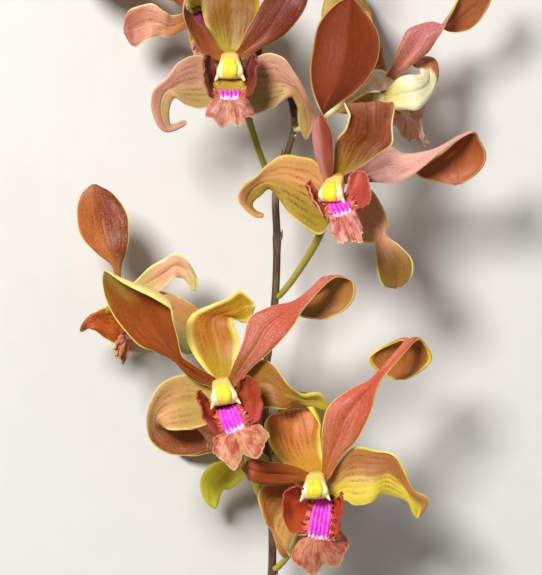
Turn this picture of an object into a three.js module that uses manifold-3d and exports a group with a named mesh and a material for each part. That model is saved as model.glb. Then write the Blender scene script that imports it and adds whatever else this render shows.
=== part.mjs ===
// A cut spray of an antelope-type dendrobium orchid, laid on its back on a table.
// Millimetres. +X is to the right and +Y up along the flower stem as the blooms face the viewer,
// +Z points up from the table, out of the faces of the front blooms.
import * as THREE from 'three';
import { mergeVertices } from 'three/addons/utils/BufferGeometryUtils.js';
import Module from 'manifold-3d';

const wasm = await Module();
wasm.setup();

// Where the middle of the spray's drawing lies from the frame's origin, the bottom centre of its box.
const sprayMiddle = [-2.1, 13.1, 0];

const tepalThickness = 0.8;
const lipThickness = 0.7;
const pedicelRadius = 0.95;
const rachisRadius = 1.15;
const cutEndRadius = 1.4;

// Steps across a tepal, a side lobe of the lip and the lip itself.
const tepalAcross = 4;
const lobeAcross = 2;
const lipAcross = 8;

// The tip of a blade rounds off over its last share, down to a blunt end of its width.
const tipShare = 0.2;
const tipBlunt = 0.22;

const colours = {
  dorsal: new THREE.MeshStandardMaterial({ color: '#a86a2c', roughness: 0.5, metalness: 0 }),
  petal: new THREE.MeshStandardMaterial({ color: '#a8503c', roughness: 0.45, metalness: 0 }),
  lateral: new THREE.MeshStandardMaterial({ color: '#b5803f', roughness: 0.5, metalness: 0 }),
  lip: new THREE.MeshStandardMaterial({ color: '#b8505e', roughness: 0.5, metalness: 0 }),
  column: new THREE.MeshStandardMaterial({ color: '#d9cb4a', roughness: 0.35, metalness: 0 }),
  pedicel: new THREE.MeshStandardMaterial({ color: '#8c8a3a', roughness: 0.45, metalness: 0 }),
  rachis: new THREE.MeshStandardMaterial({ color: '#5d5338', roughness: 0.6, metalness: 0 }),
};

// ---- closed meshes from rows and rings of points ----

function geometryOf(points, triangles) {
  const geometry = new THREE.BufferGeometry();
  const numbers = points.flatMap((p) => p.toArray());
  geometry.setAttribute('position', new THREE.Float32BufferAttribute(numbers, 3));
  geometry.setIndex(triangles);
  return geometry;
}

// One value of a smooth run through the listed numbers, at share 0 to 1 of its length.
function alongRun(values, share) {
  const last = values.length - 1;
  const at = Math.min(share * last, last - 1e-9);
  const i = Math.floor(at);
  const t = at - i;
  const before = values[Math.max(i - 1, 0)];
  const after = values[Math.min(i + 2, last)];
  const [a, b] = [values[i], values[i + 1]];
  const slopeA = (b - before) / (i > 0 ? 2 : 1);
  const slopeB = (after - a) / (i + 2 <= last ? 2 : 1);
  return (
    a * (1 + 2 * t) * (1 - t) ** 2 + slopeA * t * (1 - t) ** 2 +
    b * t * t * (3 - 2 * t) - slopeB * t * t * (1 - t)
  );
}

// A blade is given by rows from its foot to its tip: its left edge x, y, z, its right edge x, y, z,
// and how deep it is cupped towards its face, as a share of its half width.
// side runs from -1 on the left edge to 1 on the right one.
function bladePoint(rows, share, side, wave) {
  const run = (k, at) => alongRun(rows.map((row) => row[k]), at);
  const leftEdge = (at) => new THREE.Vector3(run(0, at), run(1, at), run(2, at));
  const rightEdge = (at) => new THREE.Vector3(run(3, at), run(4, at), run(5, at));
  const midrib = (at) => leftEdge(at).add(rightEdge(at)).multiplyScalar(0.5);
  const chord = rightEdge(share).sub(leftEdge(share));
  const middle = midrib(share);
  const step = 0.02;
  const growth = midrib(Math.min(share + step, 1)).sub(midrib(Math.max(share - step, 0)));
  const face = chord.clone().cross(growth).normalize();
  const past = Math.max((share - (1 - tipShare)) / tipShare, 0);
  const narrowing = Math.max(Math.sqrt(Math.max(1 - past * past, 0)), tipBlunt);
  const cycle = wave.count * share + (side > 0 ? 0.3 : 0);
  const ripple = wave.height * Math.sin(2 * Math.PI * cycle) * side ** 2;
  const cup = (run(6, share) * chord.length() * (1 - side * side)) / 2;
  const depth = ripple * Math.min(share * 4, 1) - cup;
  return middle.addScaledVector(chord, (side * narrowing) / 2).addScaledVector(face, depth * narrowing);
}

// A sheet through a grid of points. Both faces are split into the same triangles, and a rim closes it.
function sheetGeometry(grid, thickness) {
  const lastRow = grid.length - 1;
  const across = grid[0].length - 1;
  const face = (i, j) => {
    const over = grid[i][Math.min(j + 1, across)].clone().sub(grid[i][Math.max(j - 1, 0)]);
    const up = grid[Math.min(i + 1, lastRow)][j].clone().sub(grid[Math.max(i - 1, 0)][j]);
    return over.cross(up).normalize();
  };
  const points = [];
  for (const sign of [1, -1]) {
    grid.forEach((row, i) => row.forEach((p, j) => {
      points.push(p.clone().addScaledVector(face(i, j), (sign * thickness) / 2));
    }));
  }
  const width = across + 1;
  const back = grid.length * width;
  const triangles = [];
  const strip = (a, b) => triangles.push(a, b, b + back, a, b + back, a + back);
  for (let i = 0; i < lastRow; i += 1) {
    for (let j = 0; j < across; j += 1) {
      const [a, b, c, d] = [i * width + j, i * width + j + 1, (i + 1) * width + j + 1, (i + 1) * width + j];
      triangles.push(a, b, c, a, c, d, a + back, c + back, b + back, a + back, d + back, c + back);
    }
    strip(i * width, (i + 1) * width);
    strip((i + 1) * width + across, i * width + across);
  }
  for (let j = 0; j < across; j += 1) {
    strip(j + 1, j);
    strip(lastRow * width + j, lastRow * width + j + 1);
  }
  return geometryOf(points, triangles);
}

// A blade bends along the table where it would reach below it.
function bladeGeometry(rows, across, thickness, wave, table) {
  const steps = rows.length;
  const shares = [];
  for (let i = 0; i < steps; i += 1) shares.push((i / steps) * (1 - tipShare / 4));
  shares.push(1 - tipShare / 4, 1);
  return sheetGeometry(shares.map((share) => {
    const row = [];
    for (let j = 0; j <= across; j += 1) {
      const point = bladePoint(rows, share, (2 * j) / across - 1, wave);
      row.push(point.setZ(Math.max(point.z, table + thickness / 2)));
    }
    return row;
  }), thickness);
}

// Rings of points, all with the same count, closed at both ends by a fan.
function ringsGeometry(rings) {
  const sides = rings[0].length;
  const points = rings.flat();
  const triangles = [];
  for (let i = 0; i + 1 < rings.length; i += 1) {
    for (let j = 0; j < sides; j += 1) {
      const [a, b] = [i * sides + j, i * sides + ((j + 1) % sides)];
      triangles.push(a, b, b + sides, a, b + sides, a + sides);
    }
  }
  const last = (rings.length - 1) * sides;
  for (let j = 1; j + 1 < sides; j += 1) {
    triangles.push(0, j + 1, j);
    triangles.push(last, last + j, last + j + 1);
  }
  return geometryOf(points, triangles);
}

// A round stalk along a smooth curve, with a radius for each listed share of its length.
function stalkGeometry(points, radii, steps, sides = 8) {
  const curve = new THREE.CatmullRomCurve3(points.map((p) => new THREE.Vector3(...p)));
  const frames = curve.computeFrenetFrames(steps, false);
  const rings = [];
  for (let i = 0; i <= steps; i += 1) {
    const centre = curve.getPointAt(i / steps);
    const radius = alongRun(radii, i / steps);
    const ring = [];
    for (let j = 0; j < sides; j += 1) {
      const turn = (2 * Math.PI * j) / sides;
      const out = frames.normals[i].clone().multiplyScalar(Math.cos(turn));
      out.addScaledVector(frames.binormals[i], Math.sin(turn));
      ring.push(centre.clone().addScaledVector(out, radius));
    }
    rings.push(ring);
  }
  return ringsGeometry(rings);
}

// Ellipses square to Z, each given as centre x, y, z, half width and half height.
function ellipsesGeometry(ellipses, sides) {
  return ringsGeometry(ellipses.map(([x, y, z, halfWidth, halfHeight]) => {
    const ring = [];
    for (let j = 0; j < sides; j += 1) {
      const turn = (2 * Math.PI * (j + 0.5)) / sides;
      ring.push(new THREE.Vector3(x + halfWidth * Math.cos(turn), y + halfHeight * Math.sin(turn), z));
    }
    return ring;
  }));
}

// ---- joining and cutting ----

function solidOf(geometry) {
  const bare = geometry.clone();
  bare.deleteAttribute('normal');
  bare.deleteAttribute('uv');
  const merged = mergeVertices(bare, 1e-5);
  return new wasm.Manifold(new wasm.Mesh({
    numProp: 3,
    vertProperties: new Float32Array(merged.attributes.position.array),
    triVerts: new Uint32Array(merged.index.array),
  }));
}

function geometryFrom(solid) {
  const mesh = solid.getMesh();
  const geometry = new THREE.BufferGeometry();
  geometry.setAttribute('position', new THREE.BufferAttribute(new Float32Array(mesh.vertProperties), 3));
  geometry.setIndex(new THREE.BufferAttribute(new Uint32Array(mesh.triVerts), 1));
  return geometry;
}

function joined(geometries) {
  return geometryFrom(geometries.map(solidOf).reduce((all, next) => all.add(next)));
}

// The end that lies on the table is cut off flat there, so that it rests on a small flat spot.
function rested(geometry) {
  const below = new THREE.BoxGeometry(40, 400, 50);
  below.translate(0, 0, -25);
  return geometryFrom(solidOf(geometry).subtract(solidOf(below)));
}

// ---- the column, the same in every bloom, facing +Z ----

function columnGeometry() {
  const body = ellipsesGeometry([
    [0, 0.6, -1.2, 2.0, 1.6],
    [0, 0.6, 0.8, 2.4, 1.9],
    [0, 0.0, 3.0, 3.0, 2.6],
    [0, -0.9, 5.2, 3.4, 2.8],
    [0, -2.0, 7.0, 3.5, 2.3],
    [0, -2.6, 8.4, 2.2, 1.5],
  ], 8);
  const tooth = (side) => ellipsesGeometry([
    [side * 2.8, -2.6, 5.2, 1.0, 1.0],
    [side * 4.4, -4.3, 7.2, 0.3, 0.3],
  ], 4);
  return joined([body, tooth(-1), tooth(1)]);
}

// ---- the lip, the same in every bloom, drawn flat with its foot at the origin, its tip at -Y ----

// The claw under the column: distance from the foot, half width, height, height of its ridges.
const clawRows = [
  [0, 2.4, -0.2, 0],
  [3.2, 3.8, 0, 0.6],
  [7.6, 4.6, 0, 1],
  [11.9, 4.6, 0.3, 1.4],
  [13.7, 4.3, 0.2, 0.2],
];
const ridged = [2, 4, 6]; // the points across that the three ridges run along

// The mid lobe fans out from the end of the claw to a frilled rim, and droops.
const midLobe = {
  middle: 12.8,
  span: 1.62,
  reach: 9.8,
  scallops: 7.75,
  notch: 0.05,
  frill: 0.6,
  droop: 5,
  steps: 3,
};

const sideLobe = [
  [4.0, -12.5, -0.1, 6.4, -13, 1.6, 0.1],
  [4.1, -9.5, -0.1, 7.6, -10, 4.6, 0.15],
  [4.1, -6, -0.1, 8.2, -5.5, 7.2, 0.2],
  [3.6, -3, 0, 7.8, -1.8, 8, 0.2],
  [3.6, -1.4, 1.3, 7.0, -0.1, 7.9, 0.15],
  [5.2, -0.5, 5.4, 6.2, 0.3, 7.6, 0],
];

// The free edge of a side lobe leans out by its flare, as a share of its reach.
function flared(rows, flare) {
  return rows.map(([lx, ly, lz, rx, ry, rz, cup]) => (
    [lx, ly, lz, lx + (rx - lx) * (1 + flare), ry, lz + (rz - lz) * (1 - 0.3 * flare), cup]
  ));
}

function mirrored(rows) {
  return rows.map(([lx, ly, lz, rx, ry, rz, cup]) => [-rx, ry, rz, -lx, ly, lz, cup]);
}

function rimPoint(side) {
  const { middle, span, reach, scallops, notch, frill, droop } = midLobe;
  const turn = side * span;
  const radius = reach * (1 - 0.12 * side * side - notch * Math.cos(scallops * turn));
  const height = frill * Math.cos(scallops * turn) - droop * (0.35 + 0.65 * Math.cos(turn));
  return new THREE.Vector3(radius * Math.sin(turn), -middle - radius * Math.cos(turn), height);
}

function lipGrid() {
  const sides = Array.from({ length: lipAcross + 1 }, (_, j) => 1 - (2 * j) / lipAcross);
  const claw = clawRows.map(([from, half, height, ridge]) => sides.map((side, j) => (
    new THREE.Vector3(side * half, -from, height + 0.8 * side * side + (ridged.includes(j) ? ridge : 0))
  )));
  const isthmus = claw[claw.length - 1];
  const fan = Array.from({ length: midLobe.steps }, (_, i) => {
    const share = (i + 1) / midLobe.steps;
    return sides.map((side, j) => {
      const rim = rimPoint(side);
      const point = isthmus[j].clone().lerp(rim, share);
      point.z = isthmus[j].z + (rim.z - isthmus[j].z) * share ** 1.6;
      return point;
    });
  });
  return [...claw, ...fan];
}

function lipGeometry([flareLeft, flareRight]) {
  const crisped = { count: 3, height: 0.3 };
  const lobe = (rows) => bladeGeometry(rows, lobeAcross, lipThickness, crisped, -Infinity);
  const left = lobe(mirrored(flared(sideLobe, flareLeft)));
  const right = lobe(flared(sideLobe, flareRight));
  return joined([sheetGeometry(lipGrid(), lipThickness), left, right]);
}

// ---- the chin, where the feet of the two lateral sepals meet behind the lip ----

function chinGeometry() {
  const chin = ellipsesGeometry([
    [0, -2.4, 1.9, 1.9, 1.2],
    [0, -2.1, 4.0, 2.5, 1.6],
    [0, -3.6, 7.0, 2.1, 1.5],
    [0, -5.0, 10.0, 1.0, 0.8],
  ], 6);
  chin.rotateX(Math.PI / 2);
  return chin;
}

// The feet of the lateral sepals on the chin, shared by all front-facing blooms.
const leftFoot = [-1.5, -9, -4.2, -1.8, -2.3, -1.8, 0];
const rightFoot = [1.8, -2.3, -1.8, 1.5, -9, -4.2, 0];

// A tepal that is given by its pose: the way it leaves the bloom, seen from the front, in degrees
// from +X, how steeply it rises, how far it bends down over its length, and how far it twists.
const sepalWidths = [0.5, 0.85, 1, 0.95, 0.75, 0.4];
const petalWidths = [0.3, 0.38, 0.7, 1, 1, 0.6];

function posedTepal({ way, rise, bend, twist = 0, length, width, widths, foot = 3.2, level = 0 }) {
  const heading = (way * Math.PI) / 180;
  const out = new THREE.Vector3(Math.cos(heading), Math.sin(heading), 0);
  const aside = new THREE.Vector3(Math.sin(heading), -Math.cos(heading), 0);
  const centre = out.clone().multiplyScalar(foot).setZ(level);
  const step = length / (widths.length - 1);
  return widths.map((share, i) => {
    const fraction = i / (widths.length - 1);
    const slope = ((rise - bend * fraction) * Math.PI) / 180;
    const growth = out.clone().multiplyScalar(Math.cos(slope)).setZ(Math.sin(slope));
    if (i > 0) centre.addScaledVector(growth, step);
    const over = growth.clone().cross(aside).negate();
    const turn = (twist * fraction * Math.PI) / 180;
    const reach = aside.clone().multiplyScalar(Math.cos(turn)).addScaledVector(over, Math.sin(turn));
    reach.multiplyScalar((share * width) / 2);
    const [left, right] = [centre.clone().sub(reach), centre.clone().add(reach)];
    return [...left.toArray(), ...right.toArray(), 0.2];
  });
}

const sepal = (pose) => posedTepal({ widths: sepalWidths, width: 15, ...pose });
const petal = (pose) => posedTepal({ widths: petalWidths, width: 16, level: 1.2, ...pose });

// ---- the eight blooms ----
// at: where the tepals meet. nod: the angle of the lip out of the bloom's face. turn and lean: how the
// column and lip are turned about Y and Z. Rows are in the bloom's own frame, unturned.
// stalk: the pedicel's way from the rachis to the back of the bloom, in the spray's frame.

const blooms = [
  {
    name: 'bloom_1',
    at: [-12.3, 67.6, 38],
    nod: 63,
    turn: 0,
    lean: 0,
    dorsal_sepal: [
      [-2.4, 2.9, -0.7, 3, 2.9, -0.7, 0.1],
      [-5.1, 7.2, -1, 6, 7.2, -1, 0.15],
      [-7.5, 12, -1.5, 8.1, 12.6, -1.5, 0.12],
      [-8.4, 17, -2.5, 8.7, 17.5, -2.5, 0.05],
      [-7.8, 21.5, -4.5, 7.8, 22, -4.5, -0.1],
      [-5.8, 24, -8.5, 5.8, 24, -8.5, -0.2],
      [-3, 22.5, -11.5, 3, 22.5, -11.5, -0.2],
    ],
    petal_left: [
      [-3.9, 0.6, 1.2, -1.6, 3.1, 1.2, 0.1],
      [-8.4, 3, 2, -4.2, 5.4, 2, 0.1],
      [-11.4, 8.1, 4, -6.9, 10.2, 2, 0.1],
      [-13.5, 13.5, 6.5, -11.4, 14.4, 0.5, 0.1],
      [-13.2, 19.5, 7, -16.5, 18.6, -0.5, 0.1],
      [-11.5, 26.5, 5, -20.5, 23.5, 0, 0.15],
      [-12.5, 33, 2, -22, 30.5, 0, 0.1],
      [-15.5, 37.5, 0, -20, 36.5, -0.5, 0],
    ],
    petal_right: [
      [1.6, 3.1, 1.2, 3.9, 0.6, 1.2, 0.1],
      [3, 5, 2, 9, 4.2, 2, 0.1],
      [5.1, 9.3, 2.5, 15.6, 7.8, 3, 0.12],
      [8.1, 15, 3, 19.8, 12, 4.5, 0.12],
      [11.4, 20.4, 4, 23.1, 17.4, 5.5, 0.1],
      [17, 25, 7, 23.5, 24, 1, 0.1],
      [22.5, 29, 6, 21.5, 32.5, -1, 0.1],
      [27.5, 32, 3, 22.5, 39, 0, 0.1],
      [28.5, 37.5, 1, 25, 41.5, 0, 0],
    ],
    lateral_left: [
      leftFoot,
      [-7.2, -13.6, -2, -9, 2.1, 0, 0.1],
      [-12.3, -13.2, 0, -14.7, 0.3, 1.5, 0.15],
      [-15.9, -10.8, 1, -18.6, -4.5, 2, 0.2],
      [-17.4, -11.7, 0, -22.8, -8.4, 2, 0.2],
      [-18.3, -15.3, -1, -23.1, -14.7, 1, 0.2],
      [-17.4, -18.6, -2, -19.8, -20.7, -1, 0.2],
      [-13.4, -16.4, -3, -12.9, -19.6, -3, 0.1],
    ],
    lateral_right: [
      rightFoot,
      [9.6, 2.4, 0, 6, -15.4, -2, 0.1],
      [15, 1.8, 1.5, 12, -14.1, -0.5, 0.15],
      [18.3, -2.1, 2, 15.6, -11.4, 0.5, 0.2],
      [21.3, -6.6, 1.5, 18.6, -10.5, 0, 0.15],
      [23.7, -12, 0, 20.4, -14.1, -2, 0.15],
      [25.8, -16.5, -3, 20.7, -18.6, -4, 0.2],
      [24.6, -22.5, -5, 21.3, -23.4, -6, 0.1],
    ],
    stalk: [[0.2, 32.2, 24.1], [-4, 42, 25.4], [-8, 55, 28.5], [-11, 65, 32.4], [-12.3, 68.4, 34.6]],
  },
  {
    name: 'bloom_2',
    at: [34.2, 60.7, 24],
    nod: 62,
    turn: 135,
    lean: 0,
    dorsal_sepal: [
      [-1.4, 2.9, -1.4, 1.2, 2.9, 1.4, 0.1],
      [-6, 8, -3, -0.3, 7.5, 0, 0.1],
      [-9, 14, -5, -1.5, 13.5, -2, 0.1],
      [-8.5, 20, -8, -3.3, 18, -5, 0.1],
      [-7, 23, -11, -4, 22, -9, 0],
    ],
    petal_left: petal({ way: 125, rise: -46, bend: -24, twist: 12, length: 42, foot: 2.9, level: -2.2 }),
    petal_right: [
      [0.2, 2.8, 3.2, 3.4, 2.2, 3.2, 0.1],
      [2.7, 6.9, 4, 7.8, 6, 4, 0.1],
      [4.8, 12.6, 4, 12.6, 9.9, 5, 0.1],
      [7.2, 17.1, 4, 15.6, 14.1, 6, 0.1],
      [14.4, 19.5, 3, 17.4, 16.8, 7, 0.1],
      [19, 17, 0, 20, 23, 7, 0.1],
      [24.6, 17, 1, 23.5, 29.5, 6, 0.12],
      [29.4, 20.4, 2, 28.5, 33, 5, 0.1],
      [33.5, 26, 3, 31.5, 31.5, 4, 0],
    ],
    lateral_left: [
      [-2.6, -7.5, 1, -1.4, -2.4, 1, 0],
      [-4, -8.4, 0, -4, -2.2, 1, 0.1],
      [-9, -8.4, -1, -9, -3, 0, 0.1],
      [-13.5, -8, -3.5, -13.5, -3.5, -2.5, 0.1],
      [-17, -6.5, -7, -17, -4, -6, 0],
    ],
    lateral_right: [
      [0, -2.4, 2.4, -1.4, -7.5, 2.2, 0],
      [4, 2, 6.5, 5.5, -7.2, 6, -0.1],
      [8, 3.2, 7.5, 10, -7, 7, -0.15],
      [11, 3.4, 5, 14, -2.5, 4, -0.15],
      [10.5, 5.2, 1, 16.3, 3.2, 1, -0.1],
      [9, 6.2, -2, 15, 8.4, -2, -0.1],
      [7.5, 5.6, -4, 10, 9.4, -4.5, 0],
    ],
    stalk: [[7.9, 47.6, 23.5], [14, 50, 25], [22, 55.5, 27.5], [27, 58.6, 27.4], [31.2, 60.9, 25.7]],
  },
  {
    name: 'bloom_3',
    at: [20.1, 30.7, 40],
    nod: 64,
    turn: 4,
    lean: 3,
    flare: [-0.2, 0.7],
    dorsal_sepal: [
      [-1.8, 3.1, -0.7, 3.9, 3.1, -0.7, 0.1],
      [-1.4, 8, 0, 9.6, 6.6, -1, 0.12],
      [-0.6, 13.2, 0, 13.8, 10.2, -2, 0.12],
      [2.4, 16.8, 0.5, 16.5, 13.2, -2.5, 0.1],
      [3, 20.4, 0, 16.5, 19.2, -3, 0.05],
      [2.1, 23.4, -2, 16.8, 24.3, -4, -0.1],
      [5, 22.5, -7, 14, 23, -8.5, -0.2],
      [7, 19, -10, 12, 19.5, -11, -0.1],
    ],
    petal_left: [
      [-4.2, 0.6, 1.4, -1.8, 3.1, 1.4, 0.1],
      [-6, 6, 2.5, -1.6, 6.4, 3, 0.1],
      [-7.2, 11.4, 3, -1.8, 11.4, 4, 0.1],
      [-7.8, 15.9, 3, -2.4, 15.6, 5, 0.1],
      [-6.3, 20.1, 2, -4.2, 19.8, 6, 0.05],
      [0.9, 25, -0.5, -7, 25.6, 5, 0.08],
      [7.5, 30.3, -1, -8.4, 33, 4, 0.1],
      [12, 37.5, -1, -7.8, 40.5, 3, 0.1],
      [12, 45, -2, -6, 48, 1.5, 0.08],
      [8.4, 52, -3, -1.5, 54.3, 0, 0.05],
      [6, 56, -3.5, 1.5, 57, -2, 0],
    ],
    petal_right: [
      [1.8, 3.1, 1.4, 4.2, 0.6, 1.4, 0.1],
      [6.6, 5.4, 1.8, 10.4, 1, 1, 0.1],
      [15, 11.1, 1, 15.6, 0.6, 2, 0.1],
      [19.5, 9.5, 1.5, 20, 2.2, 4, 0.1],
      [25.8, 10.2, 4, 25.6, 6, 6.5, 0.1],
      [30.6, 11.8, 5.5, 31, 10.3, 7.5, 0.05],
      [36, 14.6, 4, 39.8, 16, 5, 0],
      [29, 8, 0, 42.3, 14.1, 2.5, -0.1],
      [23.6, 4.2, -1, 44.3, 9.2, 1.5, -0.12],
      [27.2, 1.2, -1.5, 43.4, 4.4, 1, -0.12],
      [32.4, -0.3, -1, 39.6, 0.6, 0.5, 0],
    ],
    lateral_left: [
      leftFoot,
      [-5, -15, -2, -6.4, 6.6, 0, 0.1],
      [-9.9, -12.6, 0, -11.4, 8.7, 1.5, 0.15],
      [-14.4, -8.7, 0.5, -16.5, 8.7, 2.5, 0.15],
      [-17.7, -4.2, 0, -21.6, 5.7, 3, 0.15],
      [-20.4, -1.2, -1, -25.2, 1.8, 3, 0.2],
      [-23.4, -3, -2, -28.8, -1.5, 2, 0.2],
      [-25.2, -5.4, -3, -29.1, -5.1, 0, 0.2],
      [-24.3, -7.2, -4, -25.2, -9.3, -2, 0.2],
      [-22.2, -8.1, -4, -22.5, -10.2, -3, 0],
    ],
    lateral_right: [
      rightFoot,
      [9, -1, -1, 3.6, -15.5, -4, 0.05],
      [12.6, -5.4, 0, 8.1, -17.4, -3, 0.05],
      [14.7, -10.5, 0, 11.4, -16.8, -1, 0.1],
      [14.6, -15.2, 0, 11.4, -17.8, 0, 0.1],
      [18.8, -18.4, 1, 11.4, -21.6, 0, 0.15],
      [22, -22.2, 0.5, 12, -26, -1, 0.15],
      [22.4, -27, -1, 13.2, -30, -3, 0.15],
      [20.4, -30, -3, 15.6, -31.4, -4, 0.1],
    ],
    stalk: [[2.8, -2.2, 23.6], [8, 4.5, 25], [14.5, 15.5, 29], [18.5, 28, 34.2], [20.1, 31.6, 36.6]],
  },
  {
    name: 'bloom_4',
    at: [-43.8, -3.7, 22],
    nod: 45,
    turn: 60,
    lean: -30,
    dorsal_sepal: [
      [1, 3.7, -0.9, 3.9, 1.7, -0.9, 0.1],
      [6.8, 9.4, -1, 9.6, 2.4, -1.4, 0.15],
      [11.2, 12, 0.5, 12.2, 4.4, 0, 0.2],
      [15, 13.8, 1, 14.4, 6.6, 1, 0.2],
      [18.6, 11.4, 0, 17.4, 6.6, 0, 0.15],
      [21.2, 7.5, -1, 19.4, 4.2, -1, 0.1],
      [22.5, 4.8, -2, 20.2, 1.8, -2, 0],
    ],
    petal_left: [
      [-3.4, 0.8, 1.6, -1.8, 3, 1.8, 0.1],
      [-3.7, 9.6, 3.4, -1.4, 10, 3.4, 0.1],
      [-9, 14.4, 4.4, 0.3, 15, 4.4, 0.15],
      [-13.5, 19.5, 4.4, 1.2, 20.4, 4.4, 0.2],
      [-14.7, 26.4, 4, 0, 26.7, 4, 0.2],
      [-13.5, 31.5, 3, -3.6, 31.8, 3, 0.15],
      [-11.5, 34.8, 2, -7.5, 34.6, 2, 0],
    ],
    petal_right: [
      [3, 1, -2.2, 3, -0.8, -2.4, 0],
      [8.4, 2.4, -4.5, 8.2, -1, -5, 0.1],
      [15, 1.2, -3.2, 14, -13, -3.2, 0.1],
      [21.6, -2.7, -3, 18.9, -16.5, -3, 0.1],
      [23.5, -8, -4, 21.5, -13, -4, 0],
    ],
    lateral_left: [
      [-0.8, -8.4, -4, -1.6, -3.2, -2.4, 0],
      [-1.8, -13.4, -1.5, -4.6, -2.2, 0, 0.1],
      [-5.6, -11.6, 0, -7.6, -2.9, 0.5, 0.1],
      [-9, -9.2, 1, -10.4, -4.4, 1, 0.15],
      [-11.6, -8.7, 0, -12.6, -6.6, 0, 0.1],
      [-13, -10, -1.5, -14.1, -8.8, -1.5, 0],
    ],
    lateral_right: posedTepal({
      way: -75, rise: -48, bend: 10, length: 22, width: 12, widths: sepalWidths, foot: 3.4, level: -2.6,
    }),
    stalk: [
      [-3.6, -30, 21.6],
      [-14, -23, 15],
      [-28, -14, 9],
      [-41, -7, 8.5],
      [-47.5, -2.6, 11.5],
      [-48.3, -0.4, 16],
      [-46.6, -0.9, 19.6],
    ],
  },
  {
    name: 'bloom_5',
    at: [-14.7, -30.1, 46],
    nod: 42,
    turn: 2,
    lean: 10,
    flare: [-0.1, 0.6],
    dorsal_sepal: [
      [-2.8, 3.1, -0.7, 2.8, 3.3, -0.7, 0.1],
      [-6.4, 7.2, 0, 4.5, 9, 0, 0.12],
      [-9.6, 12.6, 0, 5.4, 14.1, -1, 0.12],
      [-10.5, 18, -0.5, 3.6, 18.6, -2, 0.1],
      [-9, 21.6, -1, 3.2, 20.4, -3, 0.05],
      [-4.5, 24.2, -1, 4.4, 20.4, -4, 0.05],
      [1.8, 26.8, -1, 6, 19.6, -4, 0.15],
      [5.6, 29.4, -1.5, 8.4, 19.8, -4, 0.2],
      [8.9, 27, -3, 10.5, 23, -4, 0],
    ],
    petal_left: [
      [-4.2, 0.6, 1.4, -1.8, 3.1, 1.4, 0.1],
      [-7.2, 1.8, 2.2, -5.1, 4.8, 2.2, 0.1],
      [-10.8, 4.5, 3, -8.7, 6.6, 4, 0.1],
      [-14.4, 8.1, 3, -12.3, 9, 6, 0.1],
      [-20.4, 10.8, 2.5, -13.2, 15, 8, 0.12],
      [-25.5, 13.2, 2, -14, 20.7, 9, 0.15],
      [-31, 19.5, 2, -14.5, 25.5, 9, 0.15],
      [-34.5, 25.5, 3, -18.5, 28.5, 9, 0.15],
      [-36.5, 31.5, 4, -25.5, 31.3, 9, 0.12],
      [-36.8, 36, 5, -32.4, 34, 9, 0.1],
    ],
    petal_right: [
      [1.8, 3.1, 1.4, 4.2, 0.6, 1.4, 0.1],
      [4.2, 9, 2, 9, 6.4, 2.4, 0.1],
      [6.3, 14.7, 1.5, 14.1, 10.8, 3, 0.12],
      [8.1, 21, 0.5, 17.7, 14.4, 4, 0.12],
      [13.8, 24.2, 0.5, 21, 18.9, 5, 0.1],
      [21, 26.2, 2.5, 23.6, 23, 7, 0.1],
      [25.8, 29, 4.5, 27, 27.6, 8, 0.05],
      [30, 32.4, 4, 33, 33.8, 5, 0],
      [28.2, 29, -0.5, 38.4, 33, 1.5, -0.1],
      [23.4, 24.6, -1.5, 39.9, 28.6, 0.5, -0.12],
      [22.2, 21.4, -2, 38.7, 24, 0, -0.12],
      [26.4, 20.4, -2, 34.2, 20.7, -0.5, 0],
    ],
    lateral_left: [
      [-0.3, -8.6, -4, -0.9, -2.3, -1.8, 0],
      [-6, -11.4, -1, -8.1, 3.6, 0, 0.1],
      [-10.5, -12.3, 1, -13.5, 3.9, 2, 0.15],
      [-14.4, -12.6, 2, -18.6, 0.9, 3, 0.2],
      [-17, -12, 1, -21.6, -4.5, 3, 0.2],
      [-17, -11.6, -1.5, -22.5, -9.6, 1, 0.2],
      [-15, -10.6, -4.5, -21.3, -15.6, -2, 0.2],
      [-11.5, -10.6, -6.5, -17.1, -19.2, -4, 0.15],
      [-7.5, -11.5, -7.5, -11.1, -20.7, -5.5, 0.1],
      [-4, -14, -8, -4.8, -20.7, -7, 0],
    ],
    lateral_right: [
      rightFoot,
      [9, 7.2, -1, 9.6, -6.5, -1.5, 0.1],
      [13.5, 8.1, 0, 14.4, -5.6, 0, 0.1],
      [17.4, 4.2, 1, 18.6, -6.3, 0, 0.1],
      [20.7, 0, 1, 21.6, -4.8, -1, 0.1],
      [24.6, -2.4, 0, 25.2, -5.4, -3, 0.1],
      [29.4, -1.8, -1, 28.4, -6, -5, 0.1],
      [32.4, -4.2, -3, 31, -8, -6, 0],
    ],
    stalk: [[-2.1, -51.2, 22.3], [-8, -46, 25], [-12.5, -38, 31], [-14.6, -32, 39], [-14.7, -29.3, 42.6]],
  },
  {
    name: 'bloom_6',
    at: [13.5, -58.3, 42],
    nod: 9,
    turn: -4,
    lean: 2,
    flare: [0.8, -0.4],
    dorsal_sepal: [
      [-2.9, 2.9, -0.7, 2.8, 3.3, -0.7, 0.1],
      [-10, 6, 0, 1.8, 8.6, 0, 0.1],
      [-13.5, 10.5, 0, 1.4, 13.5, -0.5, 0.12],
      [-15, 15.6, -0.5, 0.9, 18, -1.5, 0.1],
      [-14.7, 19.4, -2, -0.9, 21.9, -3, 0],
      [-12.6, 19.2, -6, -0.6, 21.6, -6, -0.1],
      [-9, 16, -9, 0, 18, -8.5, -0.1],
      [-6, 12.5, -10, 0.5, 13.5, -9.5, 0],
    ],
    petal_left: [
      [-4.4, 0.4, 1.6, -2.2, 3, 1.6, 0.1],
      [-9, -0.6, 4, -7.8, 5.1, 4.5, 0.1],
      [-13.8, -0.9, 7, -12.3, 5.7, 8, 0.12],
      [-18, -0.3, 9.5, -16.8, 6.4, 10.5, 0.12],
      [-20.8, 1.5, 9, -20, 6.6, 10, 0.1],
      [-22.2, 3.2, 7, -22, 5.6, 7.5, 0],
    ],
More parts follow.
